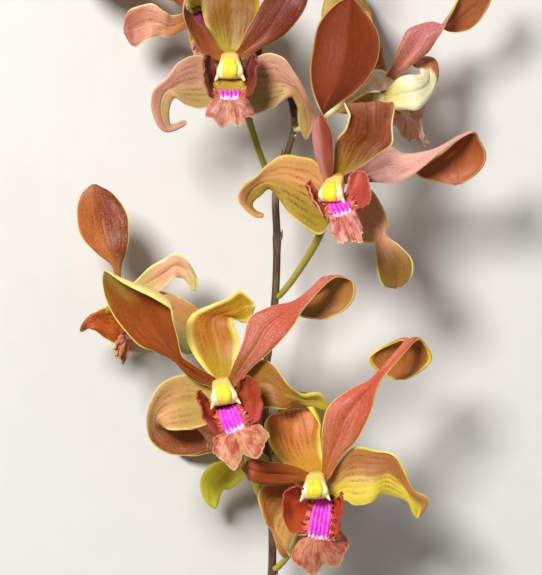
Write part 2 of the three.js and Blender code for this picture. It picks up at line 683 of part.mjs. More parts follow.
    petal_right: [
      [1.6, 3.3, 1.4, 4.2, 1.2, 1.4, 0.1],
      [1.8, 9, 1.5, 7.5, 7.8, 2, 0.1],
      [1.8, 15.6, 1.5, 12, 12.3, 3, 0.12],
      [3.6, 22.5, 1, 14.7, 17.4, 4, 0.12],
      [9.6, 27.6, 1, 16.5, 22.2, 5, 0.1],
      [15.6, 30.8, 3, 18.4, 28.4, 7, 0.1],
      [20.8, 35.4, 5, 22.2, 34.4, 8, 0.05],
      [26.6, 42, 4, 29.6, 43.2, 4, 0],
      [20.6, 41, 0, 33, 41.4, 0, -0.1],
      [15.7, 37.4, -2, 34.6, 37, -2, -0.12],
      [17.8, 33, -3, 33, 33.4, -3, -0.12],
      [20.6, 30.4, -3, 30.2, 30.8, -3, 0],
    ],
    lateral_left: [
      leftFoot,
      [-4, -13.5, -3.6, -12, 1, -0.5, 0.1],
      [-6.6, -17, -3, -17.1, -3, 1, 0.12],
      [-8, -20, -2, -16.2, -9, 1, 0.15],
      [-8, -22, -1, -14.1, -13.5, 0, 0.15],
      [-6.5, -23.4, -3, -12.9, -17.7, -1, 0.15],
      [-5, -23, -6, -10.5, -22, -4, 0.1],
      [-4, -20, -8, -7.5, -22, -7.5, 0],
    ],
    lateral_right: [
      rightFoot,
      [7.5, 6.6, 0, 8.1, -5.4, -1.5, 0.1],
      [12, 10.5, 1, 11.4, -6.9, 0, 0.12],
      [18, 9.3, 2, 16.5, -6, 1, 0.15],
      [23.4, 8.1, 2, 20.1, -3.6, 0, 0.15],
      [26.7, 2.7, 1, 24.6, -4.8, -1, 0.15],
      [29.1, -2.7, 0, 27.6, -6.3, -2, 0.15],
      [33.6, -5.4, -1, 28.8, -9, -3, 0.2],
      [33, -10, -3, 28.6, -11.2, -4, 0.1],
    ],
    stalk: [[1.9, -84.6, 15.8], [7, -78, 22], [11, -69, 29], [13.2, -60.6, 36], [13.5, -57.4, 38.6]],
  },
  {
    name: 'bloom_7',
    at: [-6.3, -48.7, 12.5],
    nod: 15,
    turn: 170,
    lean: 48,
    dorsal_sepal: [
      [-2.2, 3.3, 0.8, 2.2, 3.3, 0.8, 0.1],
      [-2, 7, 0.5, 4.6, 6, 0.5, 0.1],
      [0.5, 11, 0, 6, 9.5, 0, 0.1],
      [1.5, 13.5, -1, 4.8, 13, -1, 0],
    ],
    petal_left: petal({ way: 162, rise: -14, bend: 20, length: 25, level: -1.5, foot: 3.2 }),
    petal_right: petal({ way: 34, rise: 2, bend: 6, length: 23, width: 12, level: -1.2, foot: 3.3 }),
    lateral_left: [
      [1.8, -5.4, 2.8, 1.4, -1.8, 1.8, 0],
      [-5, -11.5, 3, -7, -3.5, 2.4, 0.1],
      [-8, -12.3, 2.5, -12, -5, 2, 0.15],
      [-9, -14, 1, -15, -10, 1.5, 0.15],
      [-9.8, -16.5, 0, -14, -15, 0.5, 0.1],
      [-10, -18.2, -1, -11.6, -17.8, -1, 0],
    ],
    lateral_right: [
      [1.8, -2.6, 1.8, 1.5, -8.5, 3.2, 0],
      [3.2, -6.6, 0.8, 0.8, -10.5, 2, 0.1],
      [4.6, -11, -1, 1.8, -13, 0, 0.1],
      [5, -14.5, -3, 2.4, -15, -2.6, 0.1],
      [4.8, -17.5, -5.5, 3, -17.5, -5.5, 0],
    ],
    stalk: [[-1.8, -67, 18], [-4.2, -60, 20.5], [-6.6, -53, 20], [-7.2, -48.9, 15]],
  },
  {
    name: 'bloom_8',
    at: [-24.3, 86.2, 20],
    nod: 20,
    turn: 10,
    lean: 25,
    dorsal_sepal: sepal({ way: 112, rise: -14, bend: 46, length: 31, foot: 3.2, level: -0.8 }),
    petal_left: petal({ way: 171, rise: 22, bend: 55, length: 38, width: 15, level: 1.6, foot: 2.8 }),
    petal_right: petal({
      way: 60, rise: 0, bend: 50, twist: 40, length: 30, width: 14, level: 1.4, foot: 3.4,
    }),
    lateral_left: [
      [0.6, -6.6, -3.2, 0.2, -2.6, -2, 0],
      [-6, -10.5, 0, -5, -4.4, 0, 0.1],
      [-9.6, -10.2, 1, -8, -3, 1, 0.1],
      [-13.5, -11.7, 1, -12.4, -0.6, 1, 0.15],
      [-17.1, -13.5, 0, -18, -2.4, 0, 0.15],
      [-19.5, -11.5, -1, -20.4, -6.2, -1, 0],
    ],
    lateral_right: posedTepal({
      way: -62, rise: -6, bend: 30, length: 30, width: 13, widths: sepalWidths, foot: 3.4, level: -3,
    }),
    stalk: [[-4, 69.2, 23], [-8.3, 72.6, 12], [-14, 79, 7.5], [-22, 86, 9], [-24.8, 87, 16.2]],
  },
];

// The flower stem from its cut end on the table to its undeveloped tip among the top blooms.
const rachisRoute = [
  [-3.9, -137.2, 1.3],
  [-2.7, -123.7, 3.2],
  [-0.9, -105.7, 8],
  [0.3, -86.2, 14],
  [0.3, -69.7, 18],
  [-0.9, -51.7, 21],
  [-1.8, -33.7, 22],
  [-0.9, -18.7, 22.5],
  [1.2, -3.7, 23],
  [1.8, 14.2, 23],
  [1.5, 29.3, 23],
  [5.1, 41.2, 23],
  [7, 48.8, 23],
  [5.8, 56.9, 23.5],
  [1.8, 63.2, 24],
  [-3, 68.6, 24.3],
  [-5, 75, 24.8],
  [-4.4, 83, 25.2],
];
const rachisRadii = [cutEndRadius, 1.3, 1.2, rachisRadius, rachisRadius, rachisRadius, 1, 0.95, 0.9, 0.45];
const rachisSteps = 28;

// ---- building ----

function faceMatrix({ turn, lean }) {
  const toRadians = Math.PI / 180;
  const turned = new THREE.Euler(0, turn * toRadians, lean * toRadians, 'ZYX');
  return new THREE.Matrix4().makeRotationFromEuler(turned);
}

function named(name, geometry, material) {
  const mesh = new THREE.Mesh(geometry, material.clone());
  mesh.name = name;
  return mesh;
}

const columnShape = columnGeometry();
const lipFoot = [0, -3.8, 0.7];

function buildBloom(bloom) {
  const group = new THREE.Group();
  group.position.set(...bloom.at);
  const waved = { count: 2, height: 0.25 };
  const tepal = (key) => bladeGeometry(bloom[key], tepalAcross, tepalThickness, waved, -bloom.at[2]);
  const add = (part, geometry, material) => group.add(named(`${bloom.name}_${part}`, geometry, material));

  add('dorsal_sepal', tepal('dorsal_sepal'), colours.dorsal);
  add('petal_left', tepal('petal_left'), colours.petal);
  add('petal_right', tepal('petal_right'), colours.petal);

  const turned = faceMatrix(bloom);
  const chin = chinGeometry().applyMatrix4(turned);
  add('lateral_sepals', joined([chin, tepal('lateral_left'), tepal('lateral_right')]), colours.lateral);

  const face = new THREE.Group();
  face.applyMatrix4(turned);
  face.add(named(`${bloom.name}_column`, columnShape, colours.column));
  const lip = named(`${bloom.name}_lip`, lipGeometry(bloom.flare ?? [0, 0]), colours.lip);
  lip.position.set(...lipFoot);
  lip.rotation.x = (-bloom.nod * Math.PI) / 180;
  face.add(lip);
  group.add(face);
  return group;
}

// A pedicel swells into the ovary, and ends in the disc that the tepals spring from.
function pedicelGeometry(bloom) {
  const radii = [0.85, pedicelRadius, 1.1, 1.35, 1.6];
  const stem = stalkGeometry(bloom.stalk, radii, 7, 6);
  const disc = ellipsesGeometry([
    [0, 1, -4.2, 1.3, 1.3],
    [0, 1, -2.6, 2.3, 2.1],
    [0, 1, -1.6, 2.1, 1.9],
  ], 8);
  disc.applyMatrix4(faceMatrix(bloom));
  disc.translate(...bloom.at);
  return joined([stem, disc]);
}

const spray = new THREE.Group();
spray.position.set(...sprayMiddle);
const flowerStem = stalkGeometry(rachisRoute, rachisRadii, rachisSteps);
spray.add(named('rachis', rested(flowerStem), colours.rachis));
for (const bloom of blooms) {
  spray.add(buildBloom(bloom));
  spray.add(named(`${bloom.name}_pedicel`, pedicelGeometry(bloom), colours.pedicel));
}

const orchid = new THREE.Group();
orchid.add(spray);
export default orchid;
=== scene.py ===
# A cut spray of an antelope-type dendrobium orchid: its looks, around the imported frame.
# Sizes in the dictionaries are millimetres; x, y, z are in each bloom's own frame, its face to +Z.
import math

import bpy
from mathutils import Matrix, Vector, noise


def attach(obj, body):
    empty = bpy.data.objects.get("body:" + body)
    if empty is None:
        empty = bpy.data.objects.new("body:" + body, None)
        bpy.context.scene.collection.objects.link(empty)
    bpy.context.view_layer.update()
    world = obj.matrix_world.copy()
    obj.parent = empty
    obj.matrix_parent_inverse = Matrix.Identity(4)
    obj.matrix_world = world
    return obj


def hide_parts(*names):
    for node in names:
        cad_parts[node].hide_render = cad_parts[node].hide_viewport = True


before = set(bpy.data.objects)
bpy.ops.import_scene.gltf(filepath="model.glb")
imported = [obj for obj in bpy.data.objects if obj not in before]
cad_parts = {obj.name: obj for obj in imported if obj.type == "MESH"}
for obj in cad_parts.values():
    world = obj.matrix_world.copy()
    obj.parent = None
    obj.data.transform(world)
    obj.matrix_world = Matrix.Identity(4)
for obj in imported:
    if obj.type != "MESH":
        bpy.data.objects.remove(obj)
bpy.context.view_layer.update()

mm = 0.001
sprayMiddle = Vector((-2.1, 13.1, 0))  # the point that all places are measured from, in the frame
sprayPlace = Matrix.Translation(sprayMiddle)


# colours and shader nodes

def paint(code):
    # a colour code as linear light
    channels = [int(code[i:i + 2], 16) / 255 for i in (1, 3, 5)]
    return (*[c / 12.92 if c <= 0.04045 else ((c + 0.055) / 1.055) ** 2.4 for c in channels], 1)


def addNode(tree, kind, values=None, **settings):
    node = tree.nodes.new(kind)
    for name, value in settings.items():
        setattr(node, name, value)
    for socket, value in (values or {}).items():
        if isinstance(value, bpy.types.NodeSocket):
            tree.links.new(value, node.inputs[socket])
        else:
            node.inputs[socket].default_value = value
    return node


def calc(tree, operation, a, b=0.0):
    return addNode(tree, "ShaderNodeMath", {0: a, 1: b}, operation=operation).outputs[0]


def times(tree, a, b):
    return calc(tree, "MULTIPLY", a, b)


def plus(tree, a, b):
    return calc(tree, "ADD", a, b)


def minus(tree, a, b):
    return calc(tree, "SUBTRACT", a, b)


def rise(tree, value, low, high):
    # 0 below low, 1 above high, smooth between
    values = {"Value": value, "From Min": low, "From Max": high}
    return addNode(tree, "ShaderNodeMapRange", values, interpolation_type="SMOOTHSTEP").outputs[0]


def between(tree, factor, a, b):
    return addNode(tree, "ShaderNodeMix", {0: factor, 2: a, 3: b}).outputs[0]


def mixed(tree, factor, a, b, way="MIX"):
    values = {0: factor, 6: a, 7: b}
    return addNode(tree, "ShaderNodeMix", values, data_type="RGBA", blend_type=way).outputs[2]


def grain(tree, vector, scale, detail=2.0):
    values = {"Vector": vector, "Scale": scale, "Detail": detail}
    return addNode(tree, "ShaderNodeTexNoise", values).outputs[0]


def spread(tree, x, y, z=0.0):
    return addNode(tree, "ShaderNodeCombineXYZ", {0: x, 1: y, 2: z}).outputs[0]


def sheetRun(tree):
    # across a sheet and along it, 0 to 1, and the distance from its middle line
    uv = addNode(tree, "ShaderNodeUVMap", uv_map="UVMap").outputs[0]
    parts = addNode(tree, "ShaderNodeSeparateXYZ", {0: uv}).outputs
    centred = calc(tree, "ABSOLUTE", minus(tree, times(tree, parts[0], 2.0), 1.0))
    return parts[0], parts[1], centred


def pattern(tree, across, along, seed, wide, tall, detail):
    # noise with its own count across a sheet and along it
    place = spread(tree, times(tree, across, wide), times(tree, along, tall), seed)
    return grain(tree, place, 1.0, detail)


def openGroup(name, colours, numbers, outputs):
    tree = bpy.data.node_groups.new(name, "ShaderNodeTree")
    for label in colours:
        tree.interface.new_socket(label, in_out="INPUT", socket_type="NodeSocketColor")
    for label, value in numbers.items():
        socket = tree.interface.new_socket(label, in_out="INPUT", socket_type="NodeSocketFloat")
        socket.default_value = value
    for label, kind in outputs.items():
        tree.interface.new_socket(label, in_out="OUTPUT", socket_type=kind)
    return tree, tree.nodes.new("NodeGroupInput").outputs, tree.nodes.new("NodeGroupOutput").inputs


# living tissue of a blade: a run of colour from foot to tip on each face, veins, streaks, a pale margin
tissueMake = {
    # each pattern's count across and along the blade, and its detail
    "cloud": (2.2, 3.5, 4.0), "dots": (36.0, 80.0, 2.0), "drawn": (30.0, 9.0, 3.0),
    "patch": (4.0, 6.0, 2.0), "patchSeed": 3.0, "speckle": 1400.0,
    # how far the run of colour, the tint and the veins stray with the cloud
    "runDrift": 0.45, "tintDrift": 0.6, "veinDrift": 0.07,
    # from where to where each mask rises
    "middle": (0.02, 0.42), "tint": (0.3, 0.7), "paleDots": (0.35, 0.8), "paleDrawn": (0.25, 0.75),
    "veinLine": (-0.7, 1.0), "veinPatch": (0.34, 0.62), "veinDots": (0.62, 0.38), "veinDrawn": (0.66, 0.4),
    "veinSides": (0.6, 0.92), "veinFoot": (0.03, 0.3), "veinTip": (0.55, 1.0), "edge": (0.2, 1.0),
    # what is left of the pale dots on the back, of a vein between its dots, and taken from it at the tip
    "paleBack": 0.25, "veinBetween": 0.25, "veinTipLoss": 0.6,
    "edgeUneven": (0.6, 1.4), "edgeAtTip": 0.3,
    # how dark cloud and speckle make it at least, what they add, and the relief of each pattern
    "cloudLeast": 0.74, "cloudMore": 0.4, "speckleLeast": 0.9, "speckleMore": 0.24,
    "speckleRelief": 0.45, "veinRelief": 0.4, "drawnRelief": 0.2,
}


def buildTissue():
    make = tissueMake
    colours = ["Front Foot", "Front Middle", "Front Tip", "Back Foot", "Back Middle", "Back Tip",
               "Left Tint", "Right Tint", "Edge", "Vein", "Streak"]
    numbers = {"Tint": 0.0, "Edge Width": 0.1, "Back Edge": 1.0, "Vein Count": 9.0, "Vein Strength": 0.5,
               "Streak Strength": 0.3, "Tip From": 0.5, "Tip Full": 0.95, "Seed": 0.0}
    outputs = {"Color": "NodeSocketColor", "Height": "NodeSocketFloat"}
    tree, given, result = openGroup("livingTissue", colours, numbers, outputs)
    across, along, centred = sheetRun(tree)
    front = addNode(tree, "ShaderNodeAttribute", attribute_name="frontFace").outputs["Fac"]
    seed = given["Seed"]

    cloud = pattern(tree, across, along, seed, *make["cloud"])
    drift = minus(tree, cloud, 0.5)
    run = plus(tree, along, times(tree, drift, make["runDrift"]))
    lower = rise(tree, run, *make["middle"])
    upper = rise(tree, run, given["Tip From"], given["Tip Full"])
    sides = []
    for face in ("Front", "Back"):
        base = mixed(tree, lower, given[face + " Foot"], given[face + " Middle"])
        sides.append(mixed(tree, upper, base, given[face + " Tip"]))
    body = mixed(tree, front, sides[1], sides[0])
    shift = plus(tree, across, times(tree, drift, make["tintDrift"]))
    tint = mixed(tree, rise(tree, shift, *make["tint"]), given["Left Tint"], given["Right Tint"])
    body = mixed(tree, times(tree, given["Tint"], front), body, tint)

    # a mottle of pale dots, then soft brown veins that break up into dots
    wander = plus(tree, across, times(tree, drift, make["veinDrift"]))
    dots = pattern(tree, wander, along, seed, *make["dots"])
    drawn = pattern(tree, wander, along, seed, *make["drawn"])
    patch = pattern(tree, across, along, plus(tree, seed, make["patchSeed"]), *make["patch"])
    pale = times(tree, rise(tree, dots, *make["paleDots"]), rise(tree, drawn, *make["paleDrawn"]))
    pale = times(tree, pale, between(tree, front, make["paleBack"], 1.0))
    body = mixed(tree, times(tree, pale, given["Streak Strength"]), body, given["Streak"])
    cycles = times(tree, wander, given["Vein Count"])
    lines = calc(tree, "SINE", times(tree, cycles, 2 * math.pi))
    inside = minus(tree, 1.0, rise(tree, centred, *make["veinSides"]))
    tipLoss = times(tree, rise(tree, along, *make["veinTip"]), make["veinTipLoss"])
    held = times(tree, rise(tree, along, *make["veinFoot"]), minus(tree, 1.0, tipLoss))
    vein = times(tree, rise(tree, lines, *make["veinLine"]), rise(tree, patch, *make["veinPatch"]))
    broken = times(tree, rise(tree, dots, *make["veinDots"]), rise(tree, drawn, *make["veinDrawn"]))
    dotted = plus(tree, make["veinBetween"], times(tree, broken, 1 - make["veinBetween"]))
    vein = times(tree, times(tree, times(tree, vein, dotted), inside), held)
    body = mixed(tree, times(tree, vein, given["Vein Strength"]), body, given["Vein"])

    width = times(tree, given["Edge Width"], between(tree, cloud, *make["edgeUneven"]))
    width = times(tree, width, between(tree, front, given["Back Edge"], 1.0))
    near = calc(tree, "DIVIDE", minus(tree, 1.0, centred), width)
    nearTip = calc(tree, "DIVIDE", minus(tree, 1.0, along), times(tree, width, make["edgeAtTip"]))
    edge = minus(tree, 1.0, rise(tree, calc(tree, "MINIMUM", near, nearTip), *make["edge"]))
    body = mixed(tree, edge, body, given["Edge"])

    place = addNode(tree, "ShaderNodeTexCoord").outputs["Object"]
    speckle = grain(tree, place, make["speckle"])
    cloudy = plus(tree, make["cloudLeast"], times(tree, cloud, make["cloudMore"]))
    speckled = plus(tree, make["speckleLeast"], times(tree, speckle, make["speckleMore"]))
    shade = times(tree, cloudy, speckled)
    body = mixed(tree, 1.0, body, spread(tree, shade, shade, shade), "MULTIPLY")
    tree.links.new(body, result["Color"])
    relief = minus(tree, times(tree, speckle, make["speckleRelief"]), times(tree, vein, make["veinRelief"]))
    tree.links.new(plus(tree, relief, times(tree, drawn, make["drawnRelief"])), result["Height"])
    return tree


# the shader's values that all finishes share: gloss, and how far light goes into the tissue
finishMake = {
    "Coat Roughness": 0.25, "Specular IOR Level": 0.25,
    "Subsurface Radius": (1, 0.4, 0.12), "Subsurface Scale": 1.2 * mm,
}
bumpStrength = 0.7


def openMaterial(name, roughness, bumpHeight, coat=0.0, glow=0.0):
    material = bpy.data.materials.new(name)
    material.use_nodes = True
    tree = material.node_tree
    shader = tree.nodes["Principled BSDF"]
    values = {**finishMake, "Roughness": roughness, "Coat Weight": coat, "Subsurface Weight": glow}
    for socket, value in values.items():
        shader.inputs[socket].default_value = value
    bump = addNode(tree, "ShaderNodeBump", {"Strength": bumpStrength, "Distance": bumpHeight * mm})
    tree.links.new(bump.outputs[0], shader.inputs["Normal"])
    return material, tree, shader.inputs["Base Color"], bump.inputs["Height"]


def groupNode(tree, group, colour, height):
    # a group placed in a material, its colour and height led on
    node = addNode(tree, "ShaderNodeGroup", node_tree=group)
    tree.links.new(node.outputs["Color"], colour)
    tree.links.new(node.outputs["Height"], height)
    return node


tissue = buildTissue()


def tissueMaterial(name, look, seed):
    material, tree, colour, height = openMaterial(name, roughness=0.46, bumpHeight=0.15, glow=0.15)
    given = groupNode(tree, tissue, colour, height).inputs
    for face in ("front", "back"):
        for label, code in zip(("Foot", "Middle", "Tip"), look[face]):
            given[f"{face.capitalize()} {label}"].default_value = paint(code)
    left, right, amount = look.get("tint", ("#808080", "#808080", 0.0))
    given["Left Tint"].default_value = paint(left)
    given["Right Tint"].default_value = paint(right)
    given["Tint"].default_value = amount
    for key in ("edge", "vein", "streak"):
        given[key.capitalize()].default_value = paint(look[key])
    for label, key in (("Edge Width", "edgeWidth"), ("Vein Count", "veinCount"),
                       ("Vein Strength", "veinStrength"), ("Streak Strength", "streakStrength"),
                       ("Back Edge", "backEdge"), ("Tip From", "tipFrom"), ("Tip Full", "tipFull")):
        if key in look:
            given[label].default_value = look[key]
    given["Seed"].default_value = seed
    return material


# a mottle of two colours with paler flecks, drawn out by its stretch along each axis
mottleMake = {"patch": (0.35, 0.65), "fleck": (0.62, 0.75), "fleckScale": 4.0, "fleckStrength": 0.35}


def buildMottle():
    numbers = {"Scale": 200.0, "Stretch X": 1.0, "Stretch Y": 1.0, "Stretch Z": 1.0}
    outputs = {"Color": "NodeSocketColor", "Height": "NodeSocketFloat"}
    tree, given, result = openGroup("mottle", ["Light", "Dark"], numbers, outputs)
    place = addNode(tree, "ShaderNodeTexCoord").outputs["Object"]
    stretch = spread(tree, given["Stretch X"], given["Stretch Y"], given["Stretch Z"])
    drawn = addNode(tree, "ShaderNodeMapping", {"Vector": place, "Scale": stretch}).outputs[0]
    broad = grain(tree, drawn, given["Scale"], 4.0)
    fine = grain(tree, place, times(tree, given["Scale"], mottleMake["fleckScale"]))
    body = mixed(tree, rise(tree, broad, *mottleMake["patch"]), given["Dark"], given["Light"])
    flecks = times(tree, rise(tree, fine, *mottleMake["fleck"]), mottleMake["fleckStrength"])
    tree.links.new(mixed(tree, flecks, body, given["Light"]), result["Color"])
    tree.links.new(broad, result["Height"])
    return tree


mottle = buildMottle()


def plainTissue(name, light, dark, scale, roughness, stretch=(1.0, 1.0, 1.0), bumpHeight=0.15, coat=0.0):
    material, tree, colour, height = openMaterial(name, roughness, bumpHeight, coat, glow=0.1)
    given = groupNode(tree, mottle, colour, height).inputs
    given["Light"].default_value = paint(light)
    given["Dark"].default_value = paint(dark)
    given["Scale"].default_value = scale
    for axis, amount in zip("XYZ", stretch):
        given[f"Stretch {axis}"].default_value = amount
    return material


# sheets, rounded bodies and stems

def alongRun(values, share, gap=1e-9):
    # one value of a smooth run through the listed numbers, share 0 to 1; the gap keeps 1 in the last span
    last = len(values) - 1
    at = min(share * last, last - gap)
    i = int(at)
    t = at - i
    before, after = values[max(i - 1, 0)], values[min(i + 2, last)]
    a, b = values[i], values[i + 1]
    slopeA = (b - before) / (2 if i > 0 else 1)
    slopeB = (after - a) / (2 if i + 2 <= last else 1)
    return (a * (1 + 2 * t) * (1 - t) ** 2 + slopeA * t * (1 - t) ** 2
            + b * t * t * (3 - 2 * t) - slopeB * t * t * (1 - t))


def deselect():
    bpy.ops.object.select_all(action="DESELECT")


def applied(piece, name, kind, **settings):
    modifier = piece.modifiers.new(name, kind)
    for key, value in settings.items():
        setattr(modifier, key, value)
    bpy.context.view_layer.objects.active = piece
    bpy.ops.object.modifier_apply(modifier=modifier.name)


def smoothed(piece, angle=50):
    deselect()
    piece.select_set(True)
    bpy.context.view_layer.objects.active = piece
    bpy.ops.object.shade_smooth_by_angle(angle=math.radians(angle))


def addSheet(name, make, shape, place, material):
    # a grid is laid in its shape, then given its thickness; frontFace says which skin is which
    deselect()
    bpy.ops.mesh.primitive_grid_add(x_subdivisions=make["across"], y_subdivisions=make["along"], size=2)
    sheet = bpy.context.object
    sheet.name = name
    for vertex in sheet.data.vertices:
        vertex.co = (place @ shape(vertex.co.x, (vertex.co.y + 1) / 2)) * mm
    skin = len(sheet.data.polygons)
    applied(sheet, "thickness", "SOLIDIFY", thickness=make["thickness"] * mm, offset=0,
            use_quality_normals=True)
    front = sheet.data.attributes.new("frontFace", "FLOAT", "FACE")
    for i, item in enumerate(front.data):
        item.value = 0.0 if skin <= i < 2 * skin else 1.0
    sheet.data.materials.append(material)
    smoothed(sheet)
    return sheet


def addRounded(name, stations, place, material, segments=32, rings=20, ends=5, square=2.0, dent=None):
    # a sphere drawn out through stations of centre x, y, z, half width and half height;
    # high ends make its two ends blunt, and a square above 2 fills the corners of its section
    deselect()
    bpy.ops.mesh.primitive_uv_sphere_add(segments=segments, ring_count=rings, radius=1)
    body = bpy.context.object
    body.name = name
    columns = list(zip(*stations))
    for vertex in body.data.vertices:
        share = 1 - math.acos(max(-1.0, min(1.0, vertex.co.z))) / math.pi
        turn = math.atan2(vertex.co.y, vertex.co.x)
        fullness = (1 - abs(2 * share - 1) ** ends) ** (1 / ends)
        fullness *= (abs(math.cos(turn)) ** square + abs(math.sin(turn)) ** square) ** (-1 / square)
        x, y, z, wide, high = [alongRun(column, share) for column in columns]
        point = Vector((x + wide * fullness * math.cos(turn), y + high * fullness * math.sin(turn), z))
        if dent:
            point = dent(point)
        vertex.co = (place @ point) * mm
    body.data.materials.append(material)
    smoothed(body, angle=80)
    return body


def addStem(name, points, radii, place, material, steps=48, sides=6):
    # a path of round section; radii gives its radius at a share of its length
    deselect()
    bpy.ops.curve.primitive_nurbs_path_add()
    path = bpy.context.object
    path.name = name
    path.data.splines.clear()
    spline = path.data.splines.new("POLY")
    spline.points.add(steps)
    columns = list(zip(*points))
    for i, point in enumerate(spline.points):
        at = place @ Vector([alongRun(column, i / steps) for column in columns])
        point.co = (*(at * mm), 1)
        point.radius = radii(i / steps)
    path.data.bevel_depth = mm
    path.data.bevel_resolution = sides
    path.data.use_fill_caps = True
    bpy.ops.object.convert(target="MESH")
    stem = bpy.context.object
    bpy.ops.object.mode_set(mode="EDIT")
    bpy.ops.mesh.select_all(action="SELECT")
    bpy.ops.mesh.remove_doubles(threshold=0.01 * mm)
    bpy.ops.mesh.normals_make_consistent(inside=False)
    bpy.ops.object.mode_set(mode="OBJECT")
    stem.data.materials.clear()
    stem.data.materials.append(material)
    smoothed(stem, angle=60)
    return stem


def joinedPiece(name, pieces, node):
    # parts that grow together become one piece in the place of its node
    deselect()
    for piece in pieces:
        piece.select_set(True)
    bpy.context.view_layer.objects.active = pieces[0]
    if len(pieces) > 1:
        bpy.ops.object.join()
    piece = bpy.context.view_layer.objects.active
    piece.name = name
    bpy.ops.object.transform_apply(location=True, rotation=True, scale=True)
    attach(piece, "root")
    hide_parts(node)


# the tepals: rows of left edge x, y, z, right edge x, y, z and cup, from foot to tip

tepalMake = {
    "across": 32, "along": 72, "thickness": 0.55,
    "footShare": 0.06, "footSink": 0.35,     # the foot narrows into the middle of the bloom
    "tipShare": 0.2, "tipEnd": 0.16,
    "waveCount": 2, "waveHeight": 0.25, "waveShift": 0.3,  # the slow wave of both margins
    "ruffleCount": 11, "ruffleHeight": 0.4,                # a finer, uneven ruffle on it
    "swell": 0.7, "swellCount": 4,                         # soft swells of the sheet
    "outline": 0.05, "outlineCount": 7,                    # and of its outline
    "grooveDepth": 0.35, "grooveWidth": 0.12, "grooveFade": 0.7,
    "rollFrom": 0.76, "rollDepth": 0.5,                    # the margins roll back a little
    "growthStep": 0.02,                                    # how far apart the blade's direction is taken
}
sepalWidths = [0.5, 0.85, 1, 0.95, 0.75, 0.4]
petalWidths = [0.3, 0.38, 0.7, 1, 1, 0.6]
leftFoot = [-1.5, -9, -4.2, -1.8, -2.3, -1.8, 0]
rightFoot = [1.8, -2.3, -1.8, 1.5, -9, -4.2, 0]


def posedTepal(way, rise, bend, length, width, widths, twist=0, foot=3.2, level=0, cup=0.2):
    # a tepal by its pose: its way from +X, its rise, its bend down and its twist over its length, degrees
    heading = math.radians(way)
    out = Vector((math.cos(heading), math.sin(heading), 0))
    aside = Vector((math.sin(heading), -math.cos(heading), 0))
    centre = out * foot + Vector((0, 0, level))
    rows = []
    for i, share in enumerate(widths):
        fraction = i / (len(widths) - 1)
        slope = math.radians(rise - bend * fraction)
        growth = out * math.cos(slope) + Vector((0, 0, math.sin(slope)))
        if i > 0:
            centre = centre + growth * (length / (len(widths) - 1))
        over = -growth.cross(aside)
        turn = math.radians(twist * fraction)
        reach = (aside * math.cos(turn) + over * math.sin(turn)) * (share * width / 2)
        rows.append([*(centre - reach), *(centre + reach), cup])
    return rows


def sepal(**pose):
    return posedTepal(**{"width": 15, "widths": sepalWidths, **pose})


def petal(**pose):
    return posedTepal(**{"width": 16, "widths": petalWidths, "level": 1.2, **pose})


def rolledOver(reach, angle, flat):
    # past the flat part of a half width the margin curls by angle: its reach and lift, in half widths
    least = 0.01
    if reach <= flat or abs(angle) < least:
        return reach, 0
    radius = (1 - flat) / abs(angle)
    widest = flat + radius * math.sin(min(abs(angle), math.pi / 2))
    turned = (reach - flat) / (1 - flat) * abs(angle)
    lift = radius * (1 - math.cos(turned)) / widest
    return (flat + radius * math.sin(turned)) / widest, math.copysign(lift, angle)


